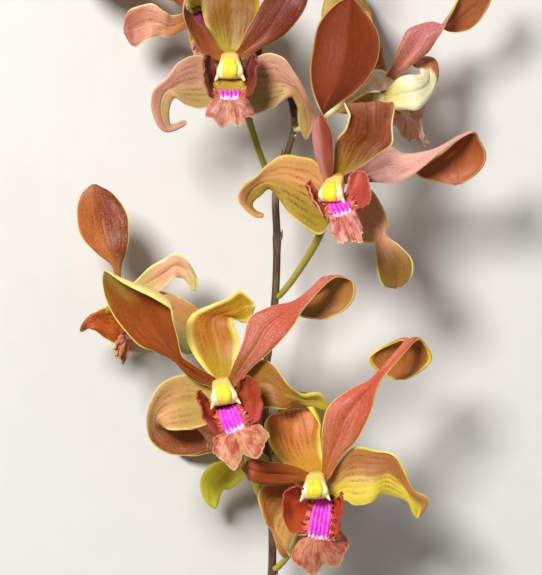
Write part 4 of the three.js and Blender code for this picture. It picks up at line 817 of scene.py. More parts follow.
# what differs on single tepals
ownLooks = {
    ("bloom1", "dorsalSepal"): {
        "front": ("#b09c2c", "#8c5c18", "#94641c"), "edge": "#b8a02c", "edgeWidth": 0.2,
        "streakStrength": 0.12},
    ("bloom1", "petalLeft"): {
        "front": ("#a05410", "#7c3414", "#a05444"), "edge": "#c48c5c", "streakStrength": 0.3},
    ("bloom1", "petalRight"): {
        "front": ("#904808", "#6c2610", "#a45844"), "edge": "#c48c5c", "streakStrength": 0.25},
    ("bloom1", "lateralLeft"): {
        "front": ("#b8a058", "#d0987c", "#dcac94"), "tint": ("#bca05c", "#c88878", 0.6),
        "edge": "#e4d09c", "edgeWidth": 0.07},
    ("bloom1", "lateralRight"): {
        "front": ("#b8a058", "#c89070", "#b89c48"), "tint": ("#c48874", "#b49854", 0.6),
        "edge": "#e4d09c", "edgeWidth": 0.07},
    ("bloom2", "dorsalSepal"): {
        "front": ("#c09a44", "#bc7058", "#c89448"), "edge": "#dcc050"},
    ("bloom2", "petalLeft"): {
        "front": ("#9c7420", "#a0702c", "#b09438"), "back": ("#9c5414", "#7c2e0c", "#843610"),
        "edge": "#b87838", "edgeWidth": 0.04, "streakStrength": 0.12, "veinStrength": 0.2},
    ("bloom2", "petalRight"): {
        "front": ("#a85c20", "#bc6460", "#e4a8a4"), "back": ("#a45420", "#a8502c", "#a8602c"),
        "streak": "#f8d0c8"},
    ("bloom2", "lateralLeft"): {
        "front": ("#c8b464", "#b88848", "#c8985c"), "veinStrength": 0.2},
    ("bloom2", "lateralRight"): {
        "front": ("#e0d47c", "#f8ecc0", "#b4683c"), "back": ("#b06828", "#a0501c", "#c87854"),
        "edge": "#f4e8bc", "edgeWidth": 0.05, "veinStrength": 0.1, "veinCount": 7, "streakStrength": 0.1,
        "tipFrom": 0.6, "tipFull": 0.7},
    ("bloom3", "dorsalSepal"): {
        "front": ("#a07820", "#84401c", "#bc7460"), "back": ("#d0b060", "#e0cc90", "#ecd4b0"),
        "edge": "#ecd88c", "edgeWidth": 0.1, "vein": "#4c1404", "streakStrength": 0.15},
    ("bloom3", "petalLeft"): {
        "front": ("#8c4018", "#9c4030", "#b46454"), "back": ("#984e14", "#883814", "#803410"),
        "tint": ("#d08c84", "#84381c", 0.6), "edge": "#c08850", "edgeWidth": 0.04,
        "streakStrength": 0.25},
    # its pale pink middle and near-white tip are partly the petal's pink, partly painted highlight
    ("bloom3", "petalRight"): {
        "front": ("#582420", "#e0a898", "#fce8dc"), "back": ("#8c3c0c", "#98441c", "#ac5c30"),
        "edge": "#cca060", "edgeWidth": 0.05, "streakStrength": 0.35, "veinStrength": 0.3},
    ("bloom3", "lateralLeft"): {
        "front": ("#a08820", "#cc9450", "#b07050"), "tint": ("#a89428", "#ecac68", 0.7),
        "veinStrength": 0.7},
    ("bloom3", "lateralRight"): {
        "front": ("#d89c6c", "#d89c74", "#906828"), "back": ("#d89c6c", "#d89c74", "#906828"),
        "edge": "#f0e088", "edgeWidth": 0.12, "veinStrength": 0.3, "tipFull": 0.8},
    ("bloom4", "dorsalSepal"): {
        "front": ("#ccb468", "#e4a888", "#f0dc90"), "edge": "#f4ec9c", "edgeWidth": 0.22,
        "veinStrength": 0.25, "streakStrength": 0.3},
    # its paler left half with pale flecks is partly the petal's colour, partly painted highlight
    ("bloom4", "petalLeft"): {
        "front": ("#d0c868", "#843c10", "#7c340c"), "back": coral, "tint": ("#b8642c", "#74280c", 0.75),
        "edge": "#dcb44c", "streak": "#e8a868", "streakStrength": 0.55},
    ("bloom4", "petalRight"): {
        "front": ("#948a20", "#a0904c", "#a89c4c"), "back": ("#bcb864", "#a0904c", "#b88c58"),
        "tint": ("#c08044", "#949458", 0.85), "veinStrength": 0.15, "streakStrength": 0.15},
    ("bloom4", "lateralLeft"): {
        "front": ("#a8560c", "#b44c0c", "#a44c1c")},
    ("bloom4", "lateralRight"): {
        "front": ("#c8a870", "#cc9078", "#dcb88c"), "edge": "#f0e4a0"},
    ("bloom5", "dorsalSepal"): {
        "front": ("#b8981c", "#b46c18", "#c09418"), "back": ("#d8b430", "#a46c04", "#c49c14"),
        "edge": "#f2e070", "edgeWidth": 0.34, "tipFrom": 0.62, "tipFull": 0.85},
    ("bloom5", "petalLeft"): {
        "front": ("#844010", "#94440c", "#a88c34"), "back": ("#b05830", "#e4c878", "#ecdc80"),
        "edge": "#f0dc74", "edgeWidth": 0.06, "streak": "#cc8c44", "streakStrength": 0.2, "veinCount": 7,
        "tipFrom": 0.7, "tipFull": 0.92},
    ("bloom5", "petalRight"): {
        "front": ("#985010", "#bc5038", "#dc8c74"), "back": ("#884810", "#985424", "#b07838"),
        "edge": "#e8c880"},
    # the dark red-brown tip of its curled end is partly the sepal's colour, partly painted shade
    ("bloom5", "lateralLeft"): {
        "front": ("#c8b458", "#d8a468", "#984c28"), "back": ("#8c4818", "#743410", "#804014"),
        "edge": "#f0dc80", "veinStrength": 0.75, "vein": "#8c3c1c", "tipFrom": 0.52, "tipFull": 0.78},
    ("bloom5", "lateralRight"): {
        "front": ("#987020", "#a0641c", "#d0bc44"), "back": ("#d8bc4c", "#d8bc50", "#e4cc58"),
        "streakStrength": 0.25, "tipFrom": 0.5, "tipFull": 0.85},
    ("bloom6", "dorsalSepal"): {
        "front": ("#c89c28", "#cc7430", "#d88448"), "back": ("#c4b040", "#b8a42c", "#d8c83c"),
        "edge": "#f0e058"},
    ("bloom6", "petalLeft"): {
        "front": ("#a86018", "#a04818", "#a04c20"), "edgeWidth": 0.03, "streakStrength": 0.15},
    ("bloom6", "petalRight"): {
        "front": ("#a85c18", "#c4543c", "#dc8c70"), "back": ("#7c3c0c", "#9c4c1c", "#b06c30"),
        "edge": "#e8d03c", "backEdge": 2.4},
    ("bloom6", "lateralLeft"): {
        "front": ("#b88c3c", "#d49450", "#dcb868"), "back": ("#c89c48", "#d09850", "#d8b060"),
        "tint": ("#dcb464", "#bc6c30", 0.5)},
    ("bloom6", "lateralRight"): {
        "front": ("#b8a828", "#b87434", "#dcc83c"), "tint": ("#bc7848", "#ecd848", 0.85),
        "edge": "#f0e058", "vein": "#8c3410", "veinCount": 9, "veinStrength": 0.85,
        "streakStrength": 0.2},
    # colours set brighter than the sepal's own, to make up for the shade that bloom5 casts on it: painted
    # light
    ("bloom7", "lateralLeft"): {
        "front": ("#f4e43c", "#fcf038", "#fcf050"), "back": ("#f4e43c", "#fcf038", "#fcf050"),
        "veinStrength": 0.1},
    ("bloom7", "petalLeft"): {
        "front": ("#8c5820", "#80421c", "#78401c"), "back": ("#8c5820", "#80421c", "#78401c")},
    ("bloom7", "petalRight"): {
        "front": ("#a08828", "#b08c3c", "#b89444"), "back": ("#a08828", "#b08c3c", "#b89444"),
        "streakStrength": 0.2},
    ("bloom8", "lateralLeft"): {
        "front": ("#c08038", "#d49474", "#b05c50"), "back": coral, "edge": "#e4d898"},
}
# margins that roll over: side, degrees (over the face when positive), the flat share of the half width,
# and the shares of the length where the roll starts, is full and ends
rolls = {
    ("bloom5", "petalLeft"): [(1, 170, 0.52, 0.4, 0.8, 1.3)],
    ("bloom5", "dorsalSepal"): [(-1, -80, 0.75, 0.1, 0.4, 0.8)],
    ("bloom6", "dorsalSepal"): [(1, 200, 0.5, 0.15, 0.6, 1.05), (-1, -70, 0.75, 0.2, 0.5, 0.9)],
    ("bloom3", "dorsalSepal"): [(-1, 150, 0.7, 0.3, 0.6, 0.95), (1, 120, 0.7, 0.4, 0.8, 1.01)],
    ("bloom6", "lateralRight"): [(-1, 100, 0.8, 0.2, 0.5, 0.9)],
    ("bloom5", "lateralLeft"): [(-1, 150, 0.8, 0.05, 0.3, 0.62)],
}


def bloomPlace(bloom):
    return sprayPlace @ Matrix.Translation(bloom["at"])


def facePlace(bloom):
    leaned = Matrix.Rotation(math.radians(bloom["lean"]), 4, "Z")
    return bloomPlace(bloom) @ leaned @ Matrix.Rotation(math.radians(bloom["turn"]), 4, "Y")


# steps between the seeds, so that no two pieces are alike
seedSteps = {"bloom": 0.37, "look": 7.3, "lip": 1.7}


def tepalSheet(bloom, key, number):
    seed = number * seedSteps["bloom"] + len(key)
    name = bloom["name"] + key[0].upper() + key[1:]
    look = {**looks[key], **ownLooks.get((bloom["name"], key), {})}
    shape = bladeShape(bloom[key], tepalMake, -bloom["at"][2], seed, rolls.get((bloom["name"], key), ()))
    material = tissueMaterial(name, look, seed * seedSteps["look"])
    return addSheet(name, tepalMake, shape, bloomPlace(bloom), material)


# the chin and the pair of lateral sepals

foldMake = {
    **tepalMake, "across": 20, "along": 32, "thickness": 0.5,
    "rows": [(2.5, -0.6, 2.6, 2.3, 2.6, 2.6, -0.1), (0, -1.2, 3.8, 0, 4.4, 3.2, -0.12),
             (-3, -1.2, 4.4, -3.2, 4.6, 3.2, -0.12), (-6, -2, 4.8, -6, 1.6, 3.8, -0.1),
             (-8.6, -3, 4.8, -8.4, -1.6, 4.6, 0)],
}
chinStations = [(0, -2.4, 1.9, 1.9, 1.2), (0, -2.1, 4.0, 2.5, 1.6), (0, -3.6, 7.0, 2.1, 1.5),
                (0, -5.0, 10.0, 1.0, 0.8)]
chinMaterial = plainTissue("chin", "#a89c30", "#9c7c24", scale=300, roughness=0.45)
paleChinMaterial = plainTissue("paleChin", "#f0e4ac", "#d8b888", scale=300, roughness=0.45)
foldMaterial = plainTissue("paleFold", "#fff0c4", "#f8c8a8", scale=180, roughness=0.45)

for number, bloom in enumerate(blooms):
    node = f"bloom_{number + 1}"
    backShows = bloom["name"] == "bloom2"
    for key, ending, slot in (("dorsalSepal", "dorsal_sepal", "dorsal_sepal"),
                              ("petalLeft", "petal_left", "petal"),
                              ("petalRight", "petal_right", "petal")):
        sheet = tepalSheet(bloom, key, number)
        joinedPiece(sheet.name, [sheet], f"{node}_{ending}")
    chinPlace = facePlace(bloom) @ Matrix.Rotation(math.pi / 2, 4, "X")
    chin = addRounded("chin", chinStations, chinPlace, paleChinMaterial if backShows else chinMaterial)
    pair = [tepalSheet(bloom, key, number) for key in ("lateralLeft", "lateralRight")]
    if backShows:
        # a pale fold of the sepals round the ovary's end
        fold = bladeShape(foldMake["rows"], foldMake)
        pair.append(addSheet("paleFold", foldMake, fold, bloomPlace(bloom), foldMaterial))
    joinedPiece(bloom["name"] + "LateralSepals", [*pair, chin], node + "_lateral_sepals")
print("tepals done")


# the lip: a clawed plate with keels and a frilled mid lobe, and two side lobes

lipMake = {
    "across": 72, "along": 120, "thickness": 0.4, "foot": (0, -3.8, 0.7),
    "clawShare": 0.5, "trough": 0.8, "calloused": 0.64,   # how much of the claw the callus covers
    "keels": (-0.54, -0.27, 0, 0.27, 0.54), "keelWidth": 0.1, "keelHeight": 0.65, "keelStart": 0.06,
    "keelUneven": 0.5,
    "middle": 12.8, "span": 1.62, "reach": 9.8,
    "scallops": 7.75, "notch": 0.05, "shoulder": 0.12, "frill": 0.6,
    "droop": 5, "sideDroop": 0.35, "turnDown": 1.6,
    "square": 0.12, "cleft": 0.14, "cleftWidth": 0.22,
    "crimp": 2.2, "crimpCount": 34, "fringe": 0.5,   # the fringed tissue beside the callus
    "jag": 1.2, "fineJag": 1.5, "edgeJag": 0.9,      # how unevenly the rim runs, coarse to fine
    "fold": 2.6, "pleat": 1.2, "crease": 0.5,        # and how it is folded up and down
}
# how fast each of these runs round the rim, and what sets its noise apart
rimRuns = {"jag": (1.6, 0), "fineJag": (5, 3), "edgeJag": (13, 6),
           "fold": (1.8, 11), "pleat": (6, 14), "crease": (15, 17)}
# the claw from foot to mid lobe: way out, half width, height, height of the keels
clawRows = [(0, 2.4, -0.2, 0), (3.2, 3.8, 0, 0.6), (7.6, 4.6, 0, 1), (11.9, 4.6, 0.3, 1.4),
            (13.7, 4.3, 0.2, 0.2)]
lobeMake = {
    **tepalMake, "across": 18, "along": 48, "thickness": 0.5, "footShare": 0,
    "waveCount": 3, "waveHeight": 0.3, "ruffleCount": 22, "ruffleHeight": 1.1, "swell": 0.9,
    "outline": 0.14, "grooveDepth": 0, "rollDepth": 0, "flareDown": 0.3,
}
# a side lobe's rows, as the tepals have them
sideLobe = [
    (4.0, -12.5, -0.1, 6.4, -13, 1.6, 0.1),
    (4.1, -9.5, -0.1, 7.6, -10, 4.6, 0.15),
    (4.1, -6, -0.1, 8.2, -5.5, 7.2, 0.2),
    (3.6, -3, 0, 7.8, -1.8, 8, 0.2),
    (3.6, -1.4, 1.3, 7.0, -0.1, 7.9, 0.15),
    (5.2, -0.5, 5.4, 6.2, 0.3, 7.6, 0),
]
lobeLook = {
    "front": ("#b84440", "#9c381c", "#88401c"), "back": ("#a84828", "#903420", "#843420"),
    "edge": "#b84c34", "edgeWidth": 0.06, "vein": "#6c1008", "veinCount": 8, "veinStrength": 0.4,
    "streak": "#e07c50", "streakStrength": 0.4}
ownLobeLooks = {
    "bloom1": {"front": ("#7c3420", "#64241c", "#7c3c3c"), "back": ("#7c3420", "#60221c", "#743436"),
               "edge": "#90504c"},
    "bloom2": {"front": ("#c88c74", "#c8786c", "#d08474"), "back": ("#d09c80", "#c88478", "#d08c7c")},
    "bloom3": {"front": ("#a84434", "#b04438", "#c0604c"), "edge": "#d07c68"},
    "bloom6": {"front": ("#c85420", "#b43c14", "#a83418")},
    "bloom8": {"front": ("#84402c", "#7c3838", "#8c4848"), "back": ("#84402c", "#7c3838", "#8c4848"),
               "edge": "#8c4848"},
}
# the lip's mid lobe light and dark, its rim, and the throat at its foot, painted dark as the shade under the
# column
lipLook = {"light": "#e09c78", "dark": "#bc5840", "rim": "#ecbc90", "throatshade": "#481608"}
ownLipLooks = {
    "bloom1": {"light": "#cc9078", "dark": "#b05c4c", "rim": "#dcb08c", "throatshade": "#b89840"},
    "bloom2": {"light": "#f4c8bc", "dark": "#e4a09c", "rim": "#f4e4b4"},
    "bloom3": {"light": "#e09c8c", "dark": "#bc5c54", "throatshade": "#805418"},
    "bloom4": {"light": "#cc8460", "dark": "#a85444", "rim": "#dcb060"},
    "bloom6": {"light": "#dc9070", "dark": "#bc5440"},
    "bloom8": {"light": "#b06c58", "dark": "#8c4848"},
}


# how single lips differ: lean, nod and the mid lobe's skew in degrees, the way aside in millimetres,
# size, width, length and raggedness as shares, the outline from left to right as shares of the reach,
# the depth of the cleft, and where the callus starts
lipPose = {"lean": 0, "nodMore": 0, "aside": 0, "askew": 0, "size": 1, "wide": 1, "long": 1, "ragged": 1,
           "outline": (1, 1, 1), "cleft": 1, "calloused": 0.05}
ownLipPoses = {
    "bloom1": {"nodMore": -9, "wide": 0.9, "long": 0.66, "ragged": 0.35, "calloused": 0.26, "cleft": 0.3,
               "outline": (1.2, 1.3, 1.2, 1.0, 1.0, 1.0, 1.05, 1.3, 1.2)},
    "bloom2": {"size": 0.9, "wide": 0.7, "long": 1.1, "lean": 14},
    "bloom3": {"wide": 0.52, "long": 0.95, "lean": 13, "aside": -1.2},
    "bloom4": {"size": 0.66, "wide": 0.6, "ragged": 1.3},
    "bloom5": {"lean": 9, "long": 0.88, "ragged": 0.5, "calloused": 0.1, "cleft": 0.2,
               "outline": (0.98, 0.98, 1.06, 1.05, 0.74, 0.98, 1.08, 1.06, 1.0)},
    "bloom6": {"lean": -10, "aside": 2.4, "askew": 22, "wide": 0.9, "long": 0.98, "ragged": 0.3,
               "outline": (0.85, 1.05, 1.08, 1.06, 1.06, 1.02, 1.04, 1.0, 0.88)},
    "bloom8": {"size": 0.6},
}


def lipShape(make, seed, pose):
    columns = list(zip(*clawRows))

    def clawPoint(side, share):
        away, half, height, ridge = [alongRun(column, share) for column in columns]
        keel = max(math.exp(-((side - at) / make["keelWidth"]) ** 2) for at in make["keels"])
        bumps = make["keelUneven"] * noise.noise((side * 6, share * 18, seed))
        crest = make["keelHeight"] * ridge * keel * (1 + bumps)
        crest *= min(max((share * make["clawShare"] - pose["calloused"]) / make["keelStart"], 0), 1)
        outer = max(abs(side) - make["calloused"], 0) / (1 - make["calloused"])
        crimp = make["crimp"] * outer * noise.noise((side * 2, share * make["crimpCount"], seed + 4))
        fringe = 1 + make["fringe"] * outer * noise.noise((side * 2, share * make["crimpCount"], seed + 8))
        return Vector((-side * half * fringe, -away, height + make["trough"] * side * side + crest + crimp))

    def shape(side, share):
        point = clawPoint(side, min(share / make["clawShare"], 1))
        if share <= make["clawShare"]:
            return point
        out = (share - make["clawShare"]) / (1 - make["clawShare"])
        turn = side * make["span"]
        way = turn - math.radians(pose["askew"])

        def uneven(run):
            rate, apart = rimRuns[run]
            return pose["ragged"] * noise.noise((turn * rate, seed + apart, out))

        scallop = math.cos(make["scallops"] * turn)
        reach = make["reach"] * pose["long"] * alongRun(pose["outline"], (1 - side) / 2)
        reach *= 1 - make["shoulder"] * side * side - make["notch"] * scallop
        cleft = pose["cleft"] * make["cleft"] * math.exp(-(turn / make["cleftWidth"]) ** 2)
        reach *= 1 + make["square"] * math.sin(2 * turn) ** 2 - cleft
        reach += sum(make[run] * uneven(run) for run in ("jag", "fineJag", "edgeJag"))
        drooped = make["droop"] * (make["sideDroop"] + (1 - make["sideDroop"]) * math.cos(turn))
        rim = Vector((-reach * pose["wide"] * math.sin(way), -make["middle"] - reach * math.cos(way),
                      make["frill"] * scallop - drooped))
        fanned = point.lerp(rim, out)
        folds = make["fold"] * out * uneven("fold") + make["pleat"] * out ** 2 * uneven("pleat")
        creases = make["crease"] * out ** 0.5 * uneven("crease")
        fanned.z = point.z + (rim.z - point.z) * out ** make["turnDown"] + folds + creases
        return fanned

    return shape


# the lip's tissue: throat in painted shade, magenta callus with pale crests and white ends, coral fringe,
# veined mid lobe
lipPaint = {
    "lobeVein": "#94301f", "midline": "#e0b858", "flankDark": "#ac2c28", "flankLight": "#e88c70",
    # the callus is painted lighter along its keels and darker between them: painted highlight and painted
    # shade
    "callusShadedFurrows": "#d820c4", "callusLitKeels": "#f444e4", "crest": "#fcb0f6", "ends": "#fbeefb",
    "underFoot": "#dcbc7c",
}
lipPatterns = {
    # each pattern's count across and along the lip, and its detail
    "streaks": (34.0, 8.0, 4.0), "fine": (80.0, 30.0, 2.0), "cloud": (6.0, 5.0, 3.0),
    "drift": 0.1, "rimDrift": 0.4, "keelRate": 46.5, "keelEnds": 0.012,
    # from where to where each mask rises
    "lobeCloud": (0.36, 0.62), "lobeVeins": (0.5, 0.66), "lobeFlecks": (0.46, 0.32),
    "midline": (0.02, 0.11), "rim": (0.955, 0.995), "flank": (0.38, 0.62), "keels": (-0.7, 0.8),
    "crests": (0.5, 0.66), "whiteFrom": (0.39, 0.44), "whiteStreaks": (0.36, 0.56), "flankFrom": (0.58, 0.7),
    "throatshade": (0.0, 0.05), "lobeFrom": (0.475, 0.505), "underFrom": (0.3, 0.75), "underStreaks": (0.4, 0.65),
    # how strong the masks are at most
    "veinStrength": 0.45, "fleckStrength": 0.35, "midlineStrength": 0.55, "rimStrength": 0.8,
    "crestStrength": 0.5, "underStrength": 0.4, "fineRelief": 0.4,
}


def buildLipTissue():
    make = lipPatterns
    paints = {key: paint(code) for key, code in lipPaint.items()}
    outputs = {"Color": "NodeSocketColor", "Height": "NodeSocketFloat"}
    numbers = {"Callus From": 0.05, "Seed": 0.0}
    tree, given, result = openGroup("lipTissue", ["Light", "Dark", "Rim", "Throatshade"], numbers, outputs)
    across, along, centred = sheetRun(tree)
    streaks = pattern(tree, across, along, given["Seed"], *make["streaks"])
    fine = pattern(tree, across, along, given["Seed"], *make["fine"])
    cloud = pattern(tree, across, along, given["Seed"], *make["cloud"])
    drift = times(tree, minus(tree, cloud, 0.5), make["drift"])
    reached = plus(tree, along, drift)
    outward = plus(tree, centred, drift)

    lobe = mixed(tree, rise(tree, cloud, *make["lobeCloud"]), given["Dark"], given["Light"])
    veins = times(tree, rise(tree, streaks, *make["lobeVeins"]), make["veinStrength"])
    lobe = mixed(tree, veins, lobe, paints["lobeVein"])
    flecks = times(tree, rise(tree, streaks, *make["lobeFlecks"]), make["fleckStrength"])
    lobe = mixed(tree, flecks, lobe, given["Rim"])
    midline = times(tree, minus(tree, 1.0, rise(tree, outward, *make["midline"])), cloud)
    lobe = mixed(tree, times(tree, midline, make["midlineStrength"]), lobe, paints["midline"])
    rim = rise(tree, plus(tree, along, times(tree, drift, make["rimDrift"])), *make["rim"])
    lobe = mixed(tree, times(tree, rim, make["rimStrength"]), lobe, given["Rim"])

    flank = mixed(tree, rise(tree, streaks, *make["flank"]), paints["flankDark"], paints["flankLight"])
    # a cosine that peaks on each keel: the keel crests take the painted highlight, the furrows the painted
    # shade
    keels = calc(tree, "COSINE", times(tree, minus(tree, across, 0.5), make["keelRate"]))
    callus = mixed(tree, rise(tree, keels, *make["keels"]), paints["callusShadedFurrows"], paints["callusLitKeels"])
    crests = times(tree, rise(tree, fine, *make["crests"]), make["crestStrength"])
    callus = mixed(tree, crests, callus, paints["crest"])
    ends = plus(tree, reached, times(tree, keels, make["keelEnds"]))
    white = times(tree, rise(tree, ends, *make["whiteFrom"]), rise(tree, streaks, *make["whiteStreaks"]))
    callus = mixed(tree, white, callus, paints["ends"])
    claw = mixed(tree, rise(tree, outward, *make["flankFrom"]), callus, flank)
    # the throat at the callus's foot is painted dark: painted shade in the hollow under the column
    fromFoot = minus(tree, reached, given["Callus From"])
    claw = mixed(tree, rise(tree, fromFoot, *make["throatshade"]), given["Throatshade"], claw)
    body = mixed(tree, rise(tree, ends, *make["lobeFrom"]), claw, lobe)

    front = addNode(tree, "ShaderNodeAttribute", attribute_name="frontFace").outputs["Fac"]
    under = mixed(tree, rise(tree, reached, *make["underFrom"]), paints["underFoot"], given["Dark"])
    underStreaks = times(tree, rise(tree, streaks, *make["underStreaks"]), make["underStrength"])
    under = mixed(tree, underStreaks, under, given["Rim"])
    tree.links.new(mixed(tree, front, under, body), result["Color"])
    tree.links.new(plus(tree, streaks, times(tree, fine, make["fineRelief"])), result["Height"])
    return tree


lipTissue = buildLipTissue()


def lipMaterial(name, look, calloused, seed):
    material, tree, colour, height = openMaterial(name, roughness=0.42, bumpHeight=0.2, glow=0.15)
    given = groupNode(tree, lipTissue, colour, height).inputs
    for key, code in look.items():
        given[key.capitalize()].default_value = paint(code)
    given["Callus From"].default_value = calloused
    given["Seed"].default_value = seed
    return material


def flaredLobe(flare):
    # the side lobe with its outer edge further out, and lower, by its flare
    low = 1 - lobeMake["flareDown"] * flare
    return [(lx, ly, lz, lx + (rx - lx) * (1 + flare), ry, lz + (rz - lz) * low, cup)
            for lx, ly, lz, rx, ry, rz, cup in sideLobe]


def mirroredRows(rows):
    return [(-rx, ry, rz, -lx, ly, lz, cup) for lx, ly, lz, rx, ry, rz, cup in rows]


for number, bloom in enumerate(blooms):
    name, seed = bloom["name"], number * seedSteps["lip"]
    pose = {**lipPose, **ownLipPoses.get(name, {})}
    leaned = Matrix.Rotation(math.radians(pose["lean"]), 4, "Z")
    nodded = Matrix.Rotation(math.radians(-bloom["nod"] - pose["nodMore"]), 4, "X")
    foot = Vector(lipMake["foot"]) + Vector((pose["aside"], 0, 0))
    place = facePlace(bloom) @ Matrix.Translation(foot) @ leaned @ nodded @ Matrix.Scale(pose["size"], 4)
    look = {**lipLook, **ownLipLooks.get(name, {})}
    plateMaterial = lipMaterial(name + "LipPlate", look, pose["calloused"], seed)
    plate = addSheet("lipPlate", lipMake, lipShape(lipMake, seed, pose), place, plateMaterial)
    lobeMaterial = tissueMaterial(name + "SideLobe", {**lobeLook, **ownLobeLooks.get(name, {})}, seed)
    lobes = []
    flareLeft, flareRight = bloom.get("flare", (0, 0))
    for rows in (mirroredRows(flaredLobe(flareLeft)), flaredLobe(flareRight)):
        shape = bladeShape(rows, lobeMake, seed=seed + len(lobes))
        lobes.append(addSheet("sideLobe", lobeMake, shape, place, lobeMaterial))
    joinedPiece(name + "Lip", [plate, *lobes], f"bloom_{number + 1}_lip")
print("lips done")


# the column: a hood that widens to two teeth, and its yellow anther cap;
# stations are centre x, y, z, half width and half height, with z along the column

columnMake = {
    "tilt": 38, "foot": (0, 2.3, -0.8),
    "hood": [(0, 0, -1.2, 2.2, 1.4), (0, 0, 1.2, 2.7, 1.8), (0, 0, 3.6, 3.0, 2.1),
             (0, 0, 6.0, 3.4, 2.2), (0, -0.2, 8.2, 4.0, 2.0), (0, -0.7, 9.8, 4.1, 1.3)],
    "tooth": [(2.5, -0.6, 7.0, 0.9, 1.2), (3.2, -0.9, 8.6, 0.9, 1.1), (3.9, -1.3, 9.8, 0.55, 0.6),
              (4.6, -1.8, 10.8, 0.2, 0.2)],
    "cap": [(0, 1.1, 4.4, 1.4, 1.0), (0, 1.0, 6.2, 1.9, 1.7), (0, 0.6, 8.4, 2.4, 1.9),
            (0, -0.2, 10.4, 2.4, 1.3)],
    "square": 3.8, "capGroove": 0.3, "capGrooveWidth": 0.7, "capBump": 0.2, "capStep": 1.6,
    "footColour": "#bc9030", "waistColour": "#f0d070", "mouthColour": "#faf0bc",
    "waistFrom": (0.1, 0.34), "mouthFrom": (0.5, 0.8), "cloudScale": 9.0, "drift": 0.25,
}


def buildHoodMaterial():
    # olive at the foot, tan at the waist, cream at the mouth and the teeth
    make = columnMake
    material, tree, colour, height = openMaterial("hood", roughness=0.36, bumpHeight=0.12,
                                                  coat=0.15, glow=0.15)
    uv = addNode(tree, "ShaderNodeUVMap", uv_map="UVMap").outputs[0]
    along = addNode(tree, "ShaderNodeSeparateXYZ", {0: uv}).outputs[1]
    cloud = grain(tree, uv, make["cloudScale"], 3.0)
    reached = plus(tree, along, times(tree, minus(tree, cloud, 0.5), make["drift"]))
    waist = rise(tree, reached, *make["waistFrom"])
    body = mixed(tree, waist, paint(make["footColour"]), paint(make["waistColour"]))
    body = mixed(tree, rise(tree, reached, *make["mouthFrom"]), body, paint(make["mouthColour"]))
    tree.links.new(body, colour)
    tree.links.new(cloud, height)
    return material


hoodMaterial = buildHoodMaterial()
capMaterial = plainTissue("antherCap", "#f6ee30", "#e8d848", scale=420, roughness=0.5)


def grooved(point):
    # two bumps side by side, and a step between the cap's brow and its front
    point.y -= columnMake["capGroove"] * math.exp(-(point.x / columnMake["capGrooveWidth"]) ** 2)
    point.y += columnMake["capBump"] * math.sin(point.z * columnMake["capStep"])
    return point


def sided(stations, side):
    return [(side * x, *others) for x, *others in stations]


# columns that look aside, in degrees about Y, and a smaller one
columnTurns = {"bloom3": -24}
columnSizes = {"bloom8": 0.6}
square = columnMake["square"]
for number, bloom in enumerate(blooms):
    turned = Matrix.Rotation(math.radians(columnTurns.get(bloom["name"], 0)), 4, "Y")
    tilted = Matrix.Rotation(math.radians(columnMake["tilt"]), 4, "X")
    sized = Matrix.Scale(columnSizes.get(bloom["name"], 1), 4)
    place = facePlace(bloom) @ Matrix.Translation(columnMake["foot"]) @ turned @ tilted @ sized
    hood = addRounded("hood", columnMake["hood"], place, hoodMaterial,
                      segments=48, rings=36, ends=8, square=square)
    teeth = [addRounded("tooth", sided(columnMake["tooth"], side), place, hoodMaterial,
                        segments=16, rings=12) for side in (-1, 1)]
    cap = addRounded("cap", columnMake["cap"], place, capMaterial,
                     segments=40, rings=28, ends=4, square=square, dent=grooved)
    joinedPiece(bloom["name"] + "Column", [hood, *teeth, cap], f"bloom_{number + 1}_column")
print("columns done")


# pedicels and the flower stem

pedicelMake = {
    "radii": [0.85, 0.95, 1.1, 1.35, 1.6], "slimRadii": [0.8, 0.85, 0.95, 1.15, 1.2],
    "footSwelling": 0.25, "footShare": 0.05, "drawn": (1.0, 0.3, 0.3),
    "disc": [(0, 1, -4.2, 1.3, 1.3), (0, 1, -2.6, 1.8, 1.7), (0, 1, -1.6, 1.8, 1.7)],
}
pedicelMaterial = plainTissue("pedicel", "#b4a840", "#968a30", scale=160, roughness=0.38,
                              stretch=pedicelMake["drawn"], coat=0.1)
palePedicelMaterial = plainTissue("palePedicel", "#fcf4b0", "#e8dc7c", scale=160, roughness=0.38,
                                  stretch=pedicelMake["drawn"], coat=0.1)
stemMaterial = plainTissue("flowerStem", "#7c6648", "#503e2a", scale=260, roughness=0.5,
                           stretch=(1.0, 0.3, 1.0), bumpHeight=0.25)
bractMaterial = plainTissue("bract", "#a88c60", "#6c5434", scale=500, roughness=0.6,
                            stretch=(1.0, 0.2, 1.0), bumpHeight=0.2)

rachisRoute = [
    [-3.9, -137.2, 1.3], [-2.7, -123.7, 3.2], [-0.9, -105.7, 8],
    [0.3, -86.2, 14], [0.3, -69.7, 18], [-0.9, -51.7, 21],
    [-1.8, -33.7, 22], [-0.9, -18.7, 22.5], [1.2, -3.7, 23],
    [1.8, 14.2, 23], [1.5, 29.3, 23], [5.1, 41.2, 23],
    [7, 48.8, 23], [5.8, 56.9, 23.5], [1.8, 63.2, 24],
    [-3, 68.6, 24.3], [-5, 75, 24.8], [-4.4, 83, 25.2],
]
rachisMake = {
    "radii": [1.4, 1.3, 1.2, 1.15, 1.15, 1.15, 1, 0.95, 0.9, 0.45],
    "nodes": [0.09, 0.17, 0.26, 0.33, 0.41, 0.53, 0.63, 0.74, 0.82, 0.9],   # shares of its length
    "nodeSwelling": 0.22, "nodeShare": 0.006, "steps": 160, "sides": 8,
    "bract": [(0.7, 0, -0.6, 0.5, 0.9), (1.25, 0, 0.6, 0.45, 1.0), (1.5, 0, 2.0, 0.3, 0.7),
              (1.7, 0, 3.2, 0.12, 0.25)],
}
